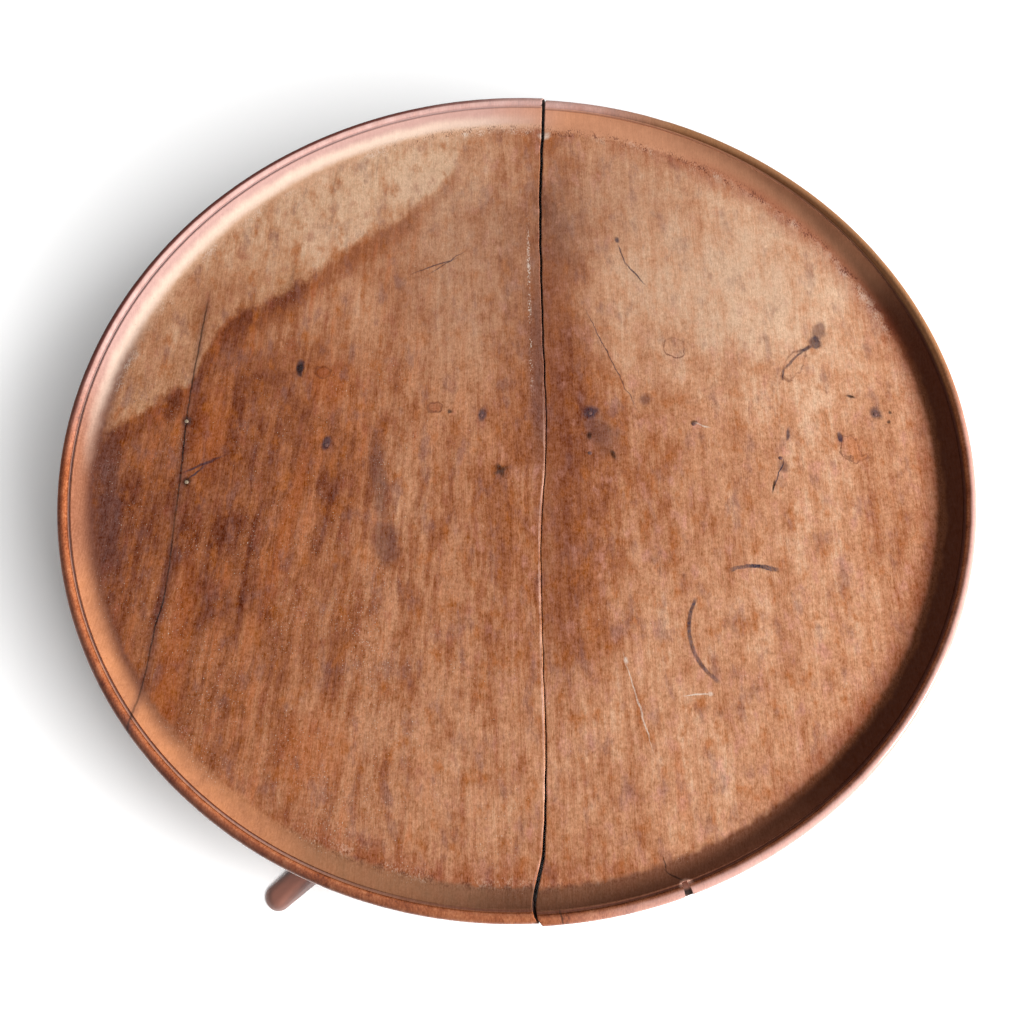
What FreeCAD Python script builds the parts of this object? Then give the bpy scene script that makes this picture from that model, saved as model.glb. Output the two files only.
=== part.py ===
"""Round dished-top wine table on a tripod base, in millimetres.

+Z is up, the floor is z = 0 and the column stands on the Z axis. The grain of the top runs along Y,
and the split that parts the top in two follows it. Each leg is drawn in its own upright plane and
turned about the column.
"""
import FreeCAD, Part
import os
import Sketcher
from math import sqrt
from types import SimpleNamespace

SIZES = {
    # Whole table
    "table_height": 470.0,
    "top_radius": 280.0,
    # Section of the dished top
    "dish_depth": 8.5,
    "floor_thickness": 13.0,
    "bead_radius": 3.0,
    "quirk_width": 2.2,
    "quirk_depth": 1.4,
    "cove_width": 13.0,
    "cove_drop": 6.0,
    "edge_fillet": 1.5,
    "under_width": 14.0,
    "under_round": 15.0,
    # Split between the halves
    "split_gap": 2.2,
    "split_slip": 1.5,
    # Patch let into the bead, and the notch broken out of it
    "patch_length": 13.0,
    "patch_depth": 9.0,
    "patch_skew": 3.0,
    "notch_turn": -71.7,
    "notch_width": 4.5,
    "notch_flare": 1.5,
    "notch_depth": 5.0,
    # Cleat across the grain, with its nails and screws
    "cleat_inset": 35.0,
    "cleat_width": 90.0,
    "cleat_thickness": 21.5,
    "cleat_bevel": 13.0,
    "nail_head_radius": 2.4,
    "nail_head_height": 1.2,
    "nail_radius": 1.2,
    "nail_bite": 16.0,
    "screw_head_radius": 4.2,
    "screw_head_height": 2.2,
    "screw_radius": 2.1,
    "screw_length": 29.0,
    # Turned column
    "column_bottom": 82.0,
    "base_height": 70.0,
    "base_radius": 30.0,
    "vase_foot_radius": 24.0,
    "vase_radius": 36.5,
    "neck_radius": 15.5,
    "shaft_radius": 18.0,
    "shaft_top_radius": 14.5,
    "foot_ring_radius": 26.0,
    "waist_ring_radius": 19.0,
    "neck_ring_radius": 17.5,
    "foot_ring_height": 10.0,
    "waist_ring_height": 9.0,
    "neck_ring_height": 8.0,
    "fillet_height": 3.0,
    "collar_radius": 35.0,
    "collar_edge": 4.0,
    "collar_hollow": 14.0,
    "tenon_radius": 14.0,
    # Wedge in the tenon
    "kerf_width": 3.0,
    "kerf_depth": 17.0,
    "wedge_tip": 1.2,
    # Legs and their dovetails
    "leg_turn": 219.0,
    "leg_reach": 279.0,
    "leg_rise": 64.0,
    "leg_width": 21.0,
    "toe_height": 14.0,
    "pad_length": 41.0,
    "strap_seat": 37.0,
    "leg_round": 7.5,
    "flat_distance": 27.5,
    "dovetail_depth": 12.0,
    "dovetail_neck": 10.0,
    "dovetail_tail": 15.0,
    "dovetail_height": 58.0,
    # Iron strap under the column
    "strap_thickness": 2.5,
    "strap_hub_radius": 19.0,
    "strap_arm_width": 17.0,
    "strap_reach": 52.0,
    "strap_screw_distance": 49.0,
    "strap_screw_length": 18.0,
    "strap_screw_radius": 1.9,
    "strap_head_radius": 3.8,
    "strap_head_height": 2.0,
    # Fits
    "joint_clearance": 0.1,
    "cut_overrun": 5.0,
}

LEG_COUNT = 3
LEG_NAMES = ("front_left_leg", "right_leg", "back_leg")
FULL_TURN = 360.0

# Numbers by which a sketch knows the points of an edge
START_POINT, END_POINT, CENTRE_POINT = range(1, 4)

# The split, from the far rim to the near rim, as shares of the top's radius, and how far it gapes there
SPLIT_SHARES = (
    (0.097, 1.0),
    (0.079, 0.71),
    (0.073, 0.39),
    (0.070, 0.05),
    (0.051, -0.185),
    (0.047, -0.40),
    (0.045, -0.667),
    (0.031, -0.87),
    (0.012, -0.97),
    (0.016, -1.0),
)
SPLIT_GAP_SHARES = (1.0, 0.9, 0.7, 0.5, 0.45, 0.45, 0.6, 0.85, 1.0, 1.0)

# Nails on each side of the split, as shares of half the cleat's length and width
LEFT_NAIL_SHARES = ((-0.838, 0.822), (-0.827, -0.127), (-0.478, 0.382), (-0.083, 0.782))
RIGHT_NAIL_SHARES = ((0.196, 0.762), (0.190, 0.138), (0.458, 0.542), (0.669, -0.024), (0.922, 0.616))

# Screws from below, in the same shares
LEFT_SCREW_SHARES = ((-0.75, -0.66), (-0.75, 0.66), (-0.31, -0.66), (-0.31, 0.66))
RIGHT_SCREW_SHARES = ((0.31, -0.66), (0.31, 0.66), (0.75, -0.66), (0.75, 0.66))

# Turned members of the column, as shares of the height between its base block and the cleat
VASE_SHARES = ((0.11, 0.90), (0.175, 1.0), (0.262, 0.87), (0.350, 0.60), (0.415, 0.46))
VASE_END_SHARE = 0.458
SHAFT_SHARES = ((0.62, 1.0), (0.77, 0.92))
SHAFT_END_SHARE = 0.895

# Top and bottom outlines of a leg: distance along its reach, and height over the toe or the floor
LEG_TOP_SHARES = ((0.89, 0.040), (0.75, 0.128), (0.58, 0.360), (0.43, 0.630), (0.27, 0.890), (0.13, 0.985))
LEG_BOTTOM_SHARES = ((0.31, 0.915), (0.45, 0.640), (0.60, 0.300), (0.735, 0.075))


class Size:
    """A number with the sheet expression that gives it, so that a feature can be bound to it."""

    def __init__(self, value, text):
        self.value = value
        self.text = text

    def __add__(self, other):
        other = as_size(other)
        return Size(self.value + other.value, f"({self.text} + {other.text})")

    def __sub__(self, other):
        other = as_size(other)
        return Size(self.value - other.value, f"({self.text} - {other.text})")

    def __mul__(self, other):
        other = as_size(other)
        return Size(self.value * other.value, f"({self.text} * {other.text})")

    def __rmul__(self, other):
        return as_size(other) * self

    def __truediv__(self, other):
        other = as_size(other)
        return Size(self.value / other.value, f"({self.text} / {other.text})")

    def __neg__(self):
        return Size(-self.value, f"(0 - {self.text})")


def as_size(number):
    """Wraps a plain number, such as a share or a count."""
    if isinstance(number, Size):
        return number
    return Size(float(number), repr(float(number)))


ZERO = as_size(0)

doc = FreeCAD.newDocument("wine_table")


def make_sheet():
    """Writes the driving sizes to the document's sheet and returns them by name."""
    sheet = doc.addObject("Spreadsheet::Sheet", "Sizes")
    for row, (alias, value) in enumerate(SIZES.items(), start=1):
        sheet.set(f"A{row}", alias)
        sheet.set(f"B{row}", str(value))
        sheet.setAlias(f"B{row}", alias)
    doc.recompute()
    return SimpleNamespace(**{alias: Size(value, f"Sizes.{alias}") for alias, value in SIZES.items()})


S = make_sheet()

# Levels and radii that several pieces share
floor_z = S.table_height - S.dish_depth
under_z = floor_z - S.floor_thickness
cleat_z = under_z - S.cleat_thickness
base_top_z = S.column_bottom + S.base_height
leg_top_z = S.column_bottom + S.leg_rise
strap_z = S.column_bottom - S.strap_thickness
bead_inner = S.top_radius - 2 * S.bead_radius
cove_outer = bead_inner - S.quirk_width
cove_top_z = floor_z + S.cove_drop
cove_radius = (S.cove_width * S.cove_width + S.cove_drop * S.cove_drop) / (2 * S.cove_drop)
cleat_half = S.top_radius - S.cleat_inset
outer_reach = S.top_radius + S.cut_overrun


def new_body(name, slip=None, turn=None):
    """Starts a sub-part, slid along Y by slip or turned about the column by turn."""
    body = doc.addObject("PartDesign::Body", name)
    body.Label = name
    if slip is not None:
        body.setExpression("Placement.Base.y", slip.text)
    if turn is not None:
        rotation = FreeCAD.Rotation(FreeCAD.Vector(0, 0, 1), turn.value)
        body.Placement = FreeCAD.Placement(FreeCAD.Vector(), rotation)
        body.setExpression("Placement.Rotation.Angle", turn.text)
    return body


def new_sketch(body, name, plane, height=None, turn=None):
    """Attaches a sketch to one of the body's own planes, raised by height and turned in the plane."""
    sketch = body.newObject("Sketcher::SketchObject", f"{body.Name}_{name}")
    support = next(item for item in body.Origin.OriginFeatures if item.Role == plane)
    sketch.AttachmentSupport = [(support, "")]
    sketch.MapMode = "FlatFace"
    if turn is not None:
        rotation = FreeCAD.Rotation(FreeCAD.Vector(0, 0, 1), turn.value)
        sketch.AttachmentOffset = FreeCAD.Placement(FreeCAD.Vector(), rotation)
        sketch.setExpression("AttachmentOffset.Rotation.Angle", turn.text)
    if height is not None:
        sketch.setExpression("AttachmentOffset.Base.z", height.text)
    return sketch


def point(place):
    """A sketch point from a pair of sizes."""
    return FreeCAD.Vector(place[0].value, place[1].value, 0)


def line_to(end):
    """A straight step of an outline."""
    return lambda start: (Part.LineSegment(point(start), point(end)), end, None)


def bowed_to(end, radius, side):
    """An arc step of an outline that bows to its right for side 1 and to its left for side -1."""
    def step(start):
        first = point(start)
        last = point(end)
        chord = last - first
        half = chord.Length / 2
        rise = radius.value - sqrt(max(radius.value ** 2 - half ** 2, 0.0))
        right = FreeCAD.Vector(chord.y, -chord.x, 0).normalize()
        middle = (first + last) / 2 + right * rise * side
        return Part.Arc(first, middle, last), end, radius
    return step


def round_to(end, radius):
    """An arc that bulges out of the wood, in an outline drawn anticlockwise."""
    return bowed_to(end, radius, 1)


def hollow_to(end, radius):
    """An arc that is hollowed into the wood, in an outline drawn anticlockwise."""
    return bowed_to(end, radius, -1)


def half_round_to(tip, end, radius):
    """Two quarter arcs that bulge out of the wood, over a tip."""
    return [round_to(tip, radius), round_to(end, radius)]


def curve_to(end, through):
    """A smooth curve through hand-chosen points."""
    def step(start):
        curve = Part.BSplineCurve()
        curve.interpolate([point(place) for place in (start, *through, end)])
        return curve, end, None
    return step


def tie(sketch, kind, geometry, corner, size):
    """Holds one coordinate of a corner at a size of the sheet, or on the axis where it is zero."""
    if size.value == 0:
        horizontal_axis, vertical_axis = -1, -2
        axis = vertical_axis if kind == "DistanceX" else horizontal_axis
        sketch.addConstraint(Sketcher.Constraint("PointOnObject", geometry, corner, axis))
        return
    index = sketch.addConstraint(Sketcher.Constraint(kind, geometry, corner, size.value))
    sketch.setExpression(f"Constraints[{index}]", size.text)


def outline(sketch, start, steps):
    """Draws a closed outline from start through each step and back, and ties its corners to the sheet."""
    place = start
    ends = []
    for step in (*steps, line_to(start)):
        shape, target, radius = step(place)
        geometry = sketch.addGeometry(shape)
        from_start = sketch.getPoint(geometry, START_POINT).distanceToPoint(point(place))
        from_end = sketch.getPoint(geometry, END_POINT).distanceToPoint(point(place))
        near, far = (END_POINT, START_POINT) if from_start > from_end else (START_POINT, END_POINT)
        if ends:
            sketch.addConstraint(Sketcher.Constraint("Coincident", *ends[-1][1], geometry, near))
        if radius is not None:
            index = sketch.addConstraint(Sketcher.Constraint("Radius", geometry, radius.value))
            sketch.setExpression(f"Constraints[{index}]", radius.text)
        ends.append(((geometry, near), (geometry, far)))
        tie(sketch, "DistanceX", geometry, near, place[0])
        tie(sketch, "DistanceY", geometry, near, place[1])
        place = target
    sketch.addConstraint(Sketcher.Constraint("Coincident", *ends[-1][1], *ends[0][0]))


def rectangle(sketch, low, high):
    """Draws an upright rectangle between two corners."""
    outline(sketch, low, [line_to((high[0], low[1])), line_to(high), line_to((low[0], high[1]))])


def circles(sketch, places, radius):
    """Draws one circle of the same radius at each place."""
    for place in places:
        circle = sketch.addGeometry(Part.Circle(point(place), FreeCAD.Vector(0, 0, 1), radius.value))
        index = sketch.addConstraint(Sketcher.Constraint("Radius", circle, radius.value))
        sketch.setExpression(f"Constraints[{index}]", radius.text)
        tie(sketch, "DistanceX", circle, CENTRE_POINT, place[0])
        tie(sketch, "DistanceY", circle, CENTRE_POINT, place[1])


def revolve(body, sketch):
    """Turns a section about the column's axis."""
    feature = body.newObject("PartDesign::Revolution", f"{sketch.Name}_revolution")
    feature.Profile = sketch
    feature.ReferenceAxis = (sketch, ["V_Axis"])
    feature.Angle = FULL_TURN
    return feature


def pad(body, sketch, length, symmetric=False):
    """Raises a sketch along its normal, or by half the length to both sides."""
    feature = body.newObject("PartDesign::Pad", f"{sketch.Name}_pad")
    feature.Profile = sketch
    feature.SideType = "Symmetric" if symmetric else "One side"
    feature.setExpression("Length", length.text)
    return feature


def cut(body, sketch, length=None, upwards=False):
    """Cuts a sketch down or up from its plane by a length, or both ways through everything."""
    feature = body.newObject("PartDesign::Pocket", f"{sketch.Name}_pocket")
    feature.Profile = sketch
    feature.Reversed = upwards
    if length is None:
        feature.Type = "ThroughAll"
        feature.SideType = "Symmetric"
    else:
        feature.setExpression("Length", length.text)
    return feature


def repeat(body, feature, count):
    """Repeats a feature evenly about the column's axis."""
    pattern = body.newObject("PartDesign::PolarPattern", f"{feature.Name}_pattern")
    pattern.Originals = [feature]
    axis = next(item for item in body.Origin.OriginFeatures if item.Role == "Z_Axis")
    pattern.Axis = (axis, [""])
    pattern.Angle = FULL_TURN
    pattern.Occurrences = count
    body.Tip = pattern
    return pattern


def on_cleat(shares):
    """Places on the cleat, from shares of half its length and width."""
    return [(x * cleat_half, y * (S.cleat_width / 2)) for x, y in shares]


def on_right_half(places):
    """The same places in the frame of the right half, which has slipped towards -Y."""
    return [(x, y + S.split_slip) for x, y in places]


def dished_blank(body):
    """The whole turned top: underside, rounded edge, bead, quirk, cove and dish floor."""
    section = new_sketch(body, "section", "XZ_Plane")
    bead_middle = S.top_radius - S.bead_radius
    bead_under_z = S.table_height - 2 * S.bead_radius
    bead_inner_z = S.table_height - S.bead_radius
    quirk_z = cove_top_z - S.quirk_depth
    outline(section, (ZERO, under_z), [
        line_to((S.top_radius - S.under_width, under_z)),
        round_to((bead_middle, bead_under_z - S.edge_fillet), S.under_round),
        line_to((bead_middle, bead_under_z)),
        *half_round_to((S.top_radius, bead_inner_z), (bead_middle, S.table_height), S.bead_radius),
        round_to((bead_inner, bead_inner_z), S.bead_radius),
        line_to((bead_inner, quirk_z)),
        line_to((cove_outer, quirk_z)),
        line_to((cove_outer, cove_top_z)),
        hollow_to((cove_outer - S.cove_width, floor_z), cove_radius),
        line_to((ZERO, floor_z)),
    ])
    return revolve(body, section)


def split_edge(side):
    """Points along one side of the split, from the far rim to the near rim: side -1 is the left half's."""
    places = []
    for (x, y), gape in zip(SPLIT_SHARES, SPLIT_GAP_SHARES):
        places.append((x * S.top_radius + side * gape * (S.split_gap / 2), y * S.top_radius))
    places[0] = (places[0][0], outer_reach)
    places[-1] = (places[-1][0], -outer_reach)
    return places


def drill_fasteners(body, nails, screws):
    """Sinks the nails' heads and shanks from above and the screws' shanks from below into a board."""
    heads = new_sketch(body, "nail_heads", "XY_Plane", floor_z)
    circles(heads, nails, S.nail_head_radius + S.joint_clearance)
    cut(body, heads, S.nail_head_height)
    shanks = new_sketch(body, "nail_shanks", "XY_Plane", floor_z)
    circles(shanks, nails, S.nail_radius + S.joint_clearance)
    cut(body, shanks, S.floor_thickness + S.cut_overrun)
    pilots = new_sketch(body, "screw_pilots", "XY_Plane", under_z)
    circles(pilots, screws, S.screw_radius + S.joint_clearance)
    cut(body, pilots, S.screw_length - S.cleat_thickness + S.joint_clearance, upwards=True)


def make_left_board():
    """The left half of the top, from its rim to the split."""
    body = new_body("top_board_left")
    dished_blank(body)
    edge = split_edge(-1)
    split = new_sketch(body, "split", "XY_Plane")
    outline(split, edge[0], [
        curve_to(edge[-1], edge[1:-1]),
        line_to((outer_reach, -outer_reach)),
        line_to((outer_reach, outer_reach)),
    ])
    cut(body, split)
    drill_fasteners(body, on_cleat(LEFT_NAIL_SHARES), on_cleat(LEFT_SCREW_SHARES))
    return body


def patch_corners(clearance):
    """Inner and outer corners of the let-in patch beside the near end of the split."""
    start = split_edge(1)[-1][0]
    inner_end = start + S.patch_length - clearance
    outer_end = inner_end + S.patch_skew
    inner_y = -cove_outer - clearance
    return start, inner_end, outer_end, inner_y


def patch_outline(sketch, start, clearance):
    """Draws the patch in plan, from its start at the split to its skewed joint."""
    inner_end, outer_end, inner_y = patch_corners(clearance)[1:]
    outline(sketch, (start, -outer_reach), [
        line_to((outer_end, -outer_reach)),
        line_to((inner_end, inner_y)),
        line_to((start, inner_y)),
    ])


def make_right_board():
    """The right half of the top, with the patch's seat and the broken notch in its bead."""
    body = new_body("top_board_right", slip=-S.split_slip)
    dished_blank(body)
    edge = split_edge(1)[::-1]
    split = new_sketch(body, "split", "XY_Plane")
    outline(split, edge[0], [
        curve_to(edge[-1], edge[1:-1]),
        line_to((-outer_reach, outer_reach)),
        line_to((-outer_reach, -outer_reach)),
    ])
    cut(body, split)
    above_z = S.table_height + S.cut_overrun
    seat = new_sketch(body, "patch_seat", "XY_Plane", above_z)
    patch_outline(seat, patch_corners(ZERO)[0] - S.cut_overrun, ZERO)
    cut(body, seat, S.patch_depth + S.cut_overrun)
    notch = new_sketch(body, "notch", "XY_Plane", above_z, turn=S.notch_turn)
    half = S.notch_width / 2
    outline(notch, (cove_outer, -half), [
        line_to((outer_reach, -half - S.notch_flare)),
        line_to((outer_reach, half)),
        line_to((cove_outer, half)),
    ])
    cut(body, notch, S.notch_depth + S.cut_overrun)
    nails = on_right_half(on_cleat(RIGHT_NAIL_SHARES))
    drill_fasteners(body, nails, on_right_half(on_cleat(RIGHT_SCREW_SHARES)))
    return body


def make_rim_patch():
    """The short length of bead let into the right half, cut from the same turned section."""
    body = new_body("rim_patch", slip=-S.split_slip)
    dished_blank(body)
    plan = new_sketch(body, "plan", "XY_Plane")
    rectangle(plan, (-outer_reach, -outer_reach - S.cut_overrun), (outer_reach, outer_reach))
    patch_outline(plan, patch_corners(ZERO)[0], S.joint_clearance)
    cut(body, plan)
    seat_z = S.table_height - S.patch_depth
    under = new_sketch(body, "under", "XY_Plane", seat_z)
    rectangle(under, (-outer_reach, -outer_reach), (outer_reach, outer_reach))
    cut(body, under, S.table_height)
    return body


def make_cleat():
    """The bearer across the grain, bevelled at its ends, with the tenon's hole and its fasteners' holes."""
    body = new_body("cross_cleat")
    side = new_sketch(body, "side", "XZ_Plane")
    outline(side, (-cleat_half + S.cleat_bevel, cleat_z), [
        line_to((cleat_half - S.cleat_bevel, cleat_z)),
        line_to((cleat_half, cleat_z + S.cleat_bevel)),
        line_to((cleat_half, under_z)),
        line_to((-cleat_half, under_z)),
        line_to((-cleat_half, cleat_z + S.cleat_bevel)),
    ])
    pad(body, side, S.cleat_width, symmetric=True)
    tenon = new_sketch(body, "tenon_hole", "XY_Plane")
    circles(tenon, [(ZERO, ZERO)], S.tenon_radius + S.joint_clearance)
    cut(body, tenon)
    nails = new_sketch(body, "nail_holes", "XY_Plane", under_z)
    circles(nails, on_cleat(LEFT_NAIL_SHARES + RIGHT_NAIL_SHARES), S.nail_radius + S.joint_clearance)
    cut(body, nails, S.nail_bite + S.joint_clearance)
    screws = on_cleat(LEFT_SCREW_SHARES + RIGHT_SCREW_SHARES)
    heads = new_sketch(body, "screw_heads", "XY_Plane", cleat_z)
    circles(heads, screws, S.screw_head_radius + S.joint_clearance)
    cut(body, heads, S.screw_head_height, upwards=True)
    shanks = new_sketch(body, "screw_shanks", "XY_Plane", cleat_z)
    circles(shanks, screws, S.screw_radius + S.joint_clearance)
    cut(body, shanks, S.cleat_thickness + S.cut_overrun, upwards=True)
    return body


def make_nails():
    """All the nails, with their heads level with the dish floor."""
    body = new_body("cleat_nails")
    places = on_cleat(LEFT_NAIL_SHARES + RIGHT_NAIL_SHARES)
    length = S.floor_thickness + S.nail_bite
    shanks = new_sketch(body, "shanks", "XY_Plane", floor_z - length)
    circles(shanks, places, S.nail_radius)
    pad(body, shanks, length)
    heads = new_sketch(body, "heads", "XY_Plane", floor_z - S.nail_head_height)
    circles(heads, places, S.nail_head_radius)
    pad(body, heads, S.nail_head_height)
    return body


def make_cleat_screws():
    """All the cleat's screws, with their heads sunk level with its underside."""
    body = new_body("cleat_screws")
    places = on_cleat(LEFT_SCREW_SHARES + RIGHT_SCREW_SHARES)
    shanks = new_sketch(body, "shanks", "XY_Plane", cleat_z)
    circles(shanks, places, S.screw_radius)
    pad(body, shanks, S.screw_length)
    heads = new_sketch(body, "heads", "XY_Plane", cleat_z)
    circles(heads, places, S.screw_head_radius)
    pad(body, heads, S.screw_head_height)
    return body


def ring_steps(radius, low_z, height):
    """A half-round ring between two fillets, turned up from low_z on a stem of the given radius."""
    ring_z = low_z + S.fillet_height
    top_z = ring_z + height
    half = height / 2
    return [
        line_to((radius, low_z)),
        line_to((radius, ring_z)),
        *half_round_to((radius + half, ring_z + half), (radius, top_z), half),
        line_to((radius, top_z + S.fillet_height)),
    ]


def dovetail(sketch, flat, clearance):
    """Draws the dovetail in plan: its neck at the flat and its wider tail towards the axis."""
    neck = S.dovetail_neck / 2 + clearance
    tail = S.dovetail_tail / 2 + clearance
    inner = S.flat_distance - S.dovetail_depth - clearance
    outline(sketch, (inner, -tail), [
        line_to((S.flat_distance, -neck)),
        line_to((flat, -neck)),
        line_to((flat, neck)),
        line_to((S.flat_distance, neck)),
        line_to((inner, tail)),
    ])


def make_column():
    """The turned pillar: block, rings, vase, shaft, collar and tenon, then the legs' seats in its block."""
    body = new_body("column")
    turned = cleat_z - base_top_z
    vase_end_z = base_top_z + VASE_END_SHARE * turned
    shaft_end_z = base_top_z + SHAFT_END_SHARE * turned
    vase_z = base_top_z + S.foot_ring_height + 2 * S.fillet_height
    shaft_z = vase_end_z + S.waist_ring_height + 2 * S.fillet_height
    collar_z = shaft_end_z + S.neck_ring_height + 2 * S.fillet_height
    collar_edge_z = cleat_z - S.collar_edge
    vase = [(r * S.vase_radius, base_top_z + z * turned) for z, r in VASE_SHARES]
    shaft = [(r * S.shaft_radius, base_top_z + z * turned) for z, r in SHAFT_SHARES]
    section = new_sketch(body, "section", "XZ_Plane")
    outline(section, (ZERO, S.column_bottom), [
        line_to((S.base_radius, S.column_bottom)),
        line_to((S.base_radius, base_top_z)),
        *ring_steps(S.foot_ring_radius, base_top_z, S.foot_ring_height),
        line_to((S.vase_foot_radius, vase_z)),
        curve_to((S.neck_radius, vase_end_z), vase),
        *ring_steps(S.waist_ring_radius, vase_end_z, S.waist_ring_height),
        line_to((S.neck_radius, shaft_z)),
        curve_to((S.shaft_top_radius, shaft_end_z), shaft),
        *ring_steps(S.neck_ring_radius, shaft_end_z, S.neck_ring_height),
        hollow_to((S.collar_radius, collar_edge_z), S.collar_hollow),
        line_to((S.collar_radius, cleat_z)),
        line_to((S.tenon_radius, cleat_z)),
        line_to((S.tenon_radius, under_z)),
        line_to((ZERO, under_z)),
    ])
    revolve(body, section)
    kerf = new_sketch(body, "kerf", "XY_Plane", under_z)
    half = S.kerf_width / 2
    reach = S.tenon_radius + S.cut_overrun
    rectangle(kerf, (-half, -reach), (half, reach))
    cut(body, kerf, S.kerf_depth)
    low_z = S.column_bottom - S.cut_overrun
    flats = new_sketch(body, "flat", "XY_Plane", low_z, turn=S.leg_turn)
    rectangle(flats, (S.flat_distance, -S.base_radius), (S.base_radius + S.cut_overrun, S.base_radius))
    rise = S.leg_rise + S.cut_overrun + S.joint_clearance
    repeat(body, cut(body, flats, rise, upwards=True), LEG_COUNT)
    sockets = new_sketch(body, "socket", "XY_Plane", low_z, turn=S.leg_turn)
    dovetail(sockets, S.base_radius + S.cut_overrun, S.joint_clearance)
    depth = S.dovetail_height + S.cut_overrun + S.joint_clearance
    repeat(body, cut(body, sockets, depth, upwards=True), LEG_COUNT)
    pilot = new_sketch(body, "strap_pilot", "XY_Plane", S.column_bottom)
    circles(pilot, [(ZERO, ZERO)], S.strap_screw_radius + S.joint_clearance)
    cut(body, pilot, S.strap_screw_length - S.strap_thickness + S.joint_clearance, upwards=True)
    return body


def make_wedge():
    """The wedge that spreads the tenon: thick at the tenon's end and thin in the kerf."""
    body = new_body("tenon_wedge")
    side = new_sketch(body, "side", "XZ_Plane")
    thick = S.kerf_width / 2 - S.joint_clearance
    thin = S.wedge_tip / 2
    outline(side, (-thin, under_z - S.kerf_depth), [
        line_to((thin, under_z - S.kerf_depth)),
        line_to((thick, under_z)),
        line_to((-thick, under_z)),
    ])
    pad(body, side, 2 * S.tenon_radius, symmetric=True)
    bore = new_sketch(body, "bore", "XY_Plane")
    reach = S.tenon_radius + S.cut_overrun
    rectangle(bore, (-reach, -reach), (reach, reach))
    circles(bore, [(ZERO, ZERO)], S.tenon_radius)
    cut(body, bore)
    return body


def faces_up(face):
    """Whether a face of the leg looks upwards at its middle, and not to a side."""
    low_u, high_u, low_v, high_v = face.ParameterRange
    normal = face.normalAt((low_u + high_u) / 2, (low_v + high_v) / 2)
    return normal.z > abs(normal.y)


def leg_profile(body):
    """The leg from the side: straight seat, arched underside, flat pad, toe and swept top."""
    run = S.leg_reach - S.flat_distance
    fall = leg_top_z - S.toe_height
    top = [(S.flat_distance + x * run, S.toe_height + z * fall) for x, z in LEG_TOP_SHARES]
    bottom = [(S.flat_distance + x * run, z * S.column_bottom) for x, z in LEG_BOTTOM_SHARES]
    side = new_sketch(body, "side", "XZ_Plane")
    outline(side, (S.flat_distance, S.column_bottom), [
        line_to((S.flat_distance + S.strap_seat, S.column_bottom)),
        curve_to((S.leg_reach - S.pad_length, ZERO), bottom),
        line_to((S.leg_reach, ZERO)),
        line_to((S.leg_reach, S.toe_height)),
        curve_to((S.flat_distance, leg_top_z), top),
    ])
    return side


def round_leg(body, base):
    """Rounds the leg's upper edges, from the column round the toe and back."""
    doc.recompute()
    top = max(filter(faces_up, base.Shape.Faces), key=lambda face: face.Area)
    names = []
    for number, edge in enumerate(base.Shape.Edges, start=1):
        on_top = any(edge.isSame(other) for other in top.Edges)
        if on_top and edge.BoundBox.XLength > S.joint_clearance.value:
            names.append(f"Edge{number}")
    rounding = body.newObject("PartDesign::Fillet", f"{body.Name}_rounding")
    rounding.Base = (base, names)
    rounding.setExpression("Radius", S.leg_round.text)
    return rounding


def make_leg(name, index):
    """One swept leg: sawn to its profile, rounded at its toe and along its top, dovetailed at its head."""
    turn = S.leg_turn + index * (as_size(FULL_TURN) / LEG_COUNT)
    body = new_body(name, turn=turn)
    pad(body, leg_profile(body), S.leg_width, symmetric=True)
    plan = new_sketch(body, "plan", "XY_Plane")
    half = S.leg_width / 2
    toe_x = S.leg_reach - half
    outline(plan, (toe_x, -S.leg_width), [
        line_to((S.leg_reach + S.cut_overrun, -S.leg_width)),
        line_to((S.leg_reach + S.cut_overrun, S.leg_width)),
        line_to((toe_x, S.leg_width)),
        line_to((toe_x, half)),
        hollow_to((S.leg_reach, ZERO), half),
        hollow_to((toe_x, -half), half),
    ])
    round_leg(body, cut(body, plan))
    tail = new_sketch(body, "dovetail", "XY_Plane", S.column_bottom)
    dovetail(tail, S.flat_distance + S.cut_overrun, ZERO)
    pad(body, tail, S.dovetail_height)
    pilot = new_sketch(body, "strap_pilot", "XY_Plane", S.column_bottom)
    circles(pilot, [(S.strap_screw_distance, ZERO)], S.strap_screw_radius + S.joint_clearance)
    cut(body, pilot, S.strap_screw_length - S.strap_thickness + S.joint_clearance, upwards=True)
    return body


def make_strap():
    """The three-armed iron strap that lies under the column and the legs' heads."""
    body = new_body("leg_brace_plate", turn=S.leg_turn)
    hub = new_sketch(body, "hub", "XY_Plane", strap_z)
    circles(hub, [(ZERO, ZERO)], S.strap_hub_radius)
    pad(body, hub, S.strap_thickness)
    arm = new_sketch(body, "arm", "XY_Plane", strap_z)
    half = S.strap_arm_width / 2
    outline(arm, (ZERO, -half), [
        line_to((S.strap_reach, -half)),
        *half_round_to((S.strap_reach + half, ZERO), (S.strap_reach, half), half),
        line_to((ZERO, half)),
    ])
    repeat(body, pad(body, arm, S.strap_thickness), LEG_COUNT)
    hole = new_sketch(body, "arm_hole", "XY_Plane")
    circles(hole, [(S.strap_screw_distance, ZERO)], S.strap_screw_radius + S.joint_clearance)
    repeat(body, cut(body, hole), LEG_COUNT)
    middle = new_sketch(body, "middle_hole", "XY_Plane")
    circles(middle, [(ZERO, ZERO)], S.strap_screw_radius + S.joint_clearance)
    cut(body, middle)
    return body


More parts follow.
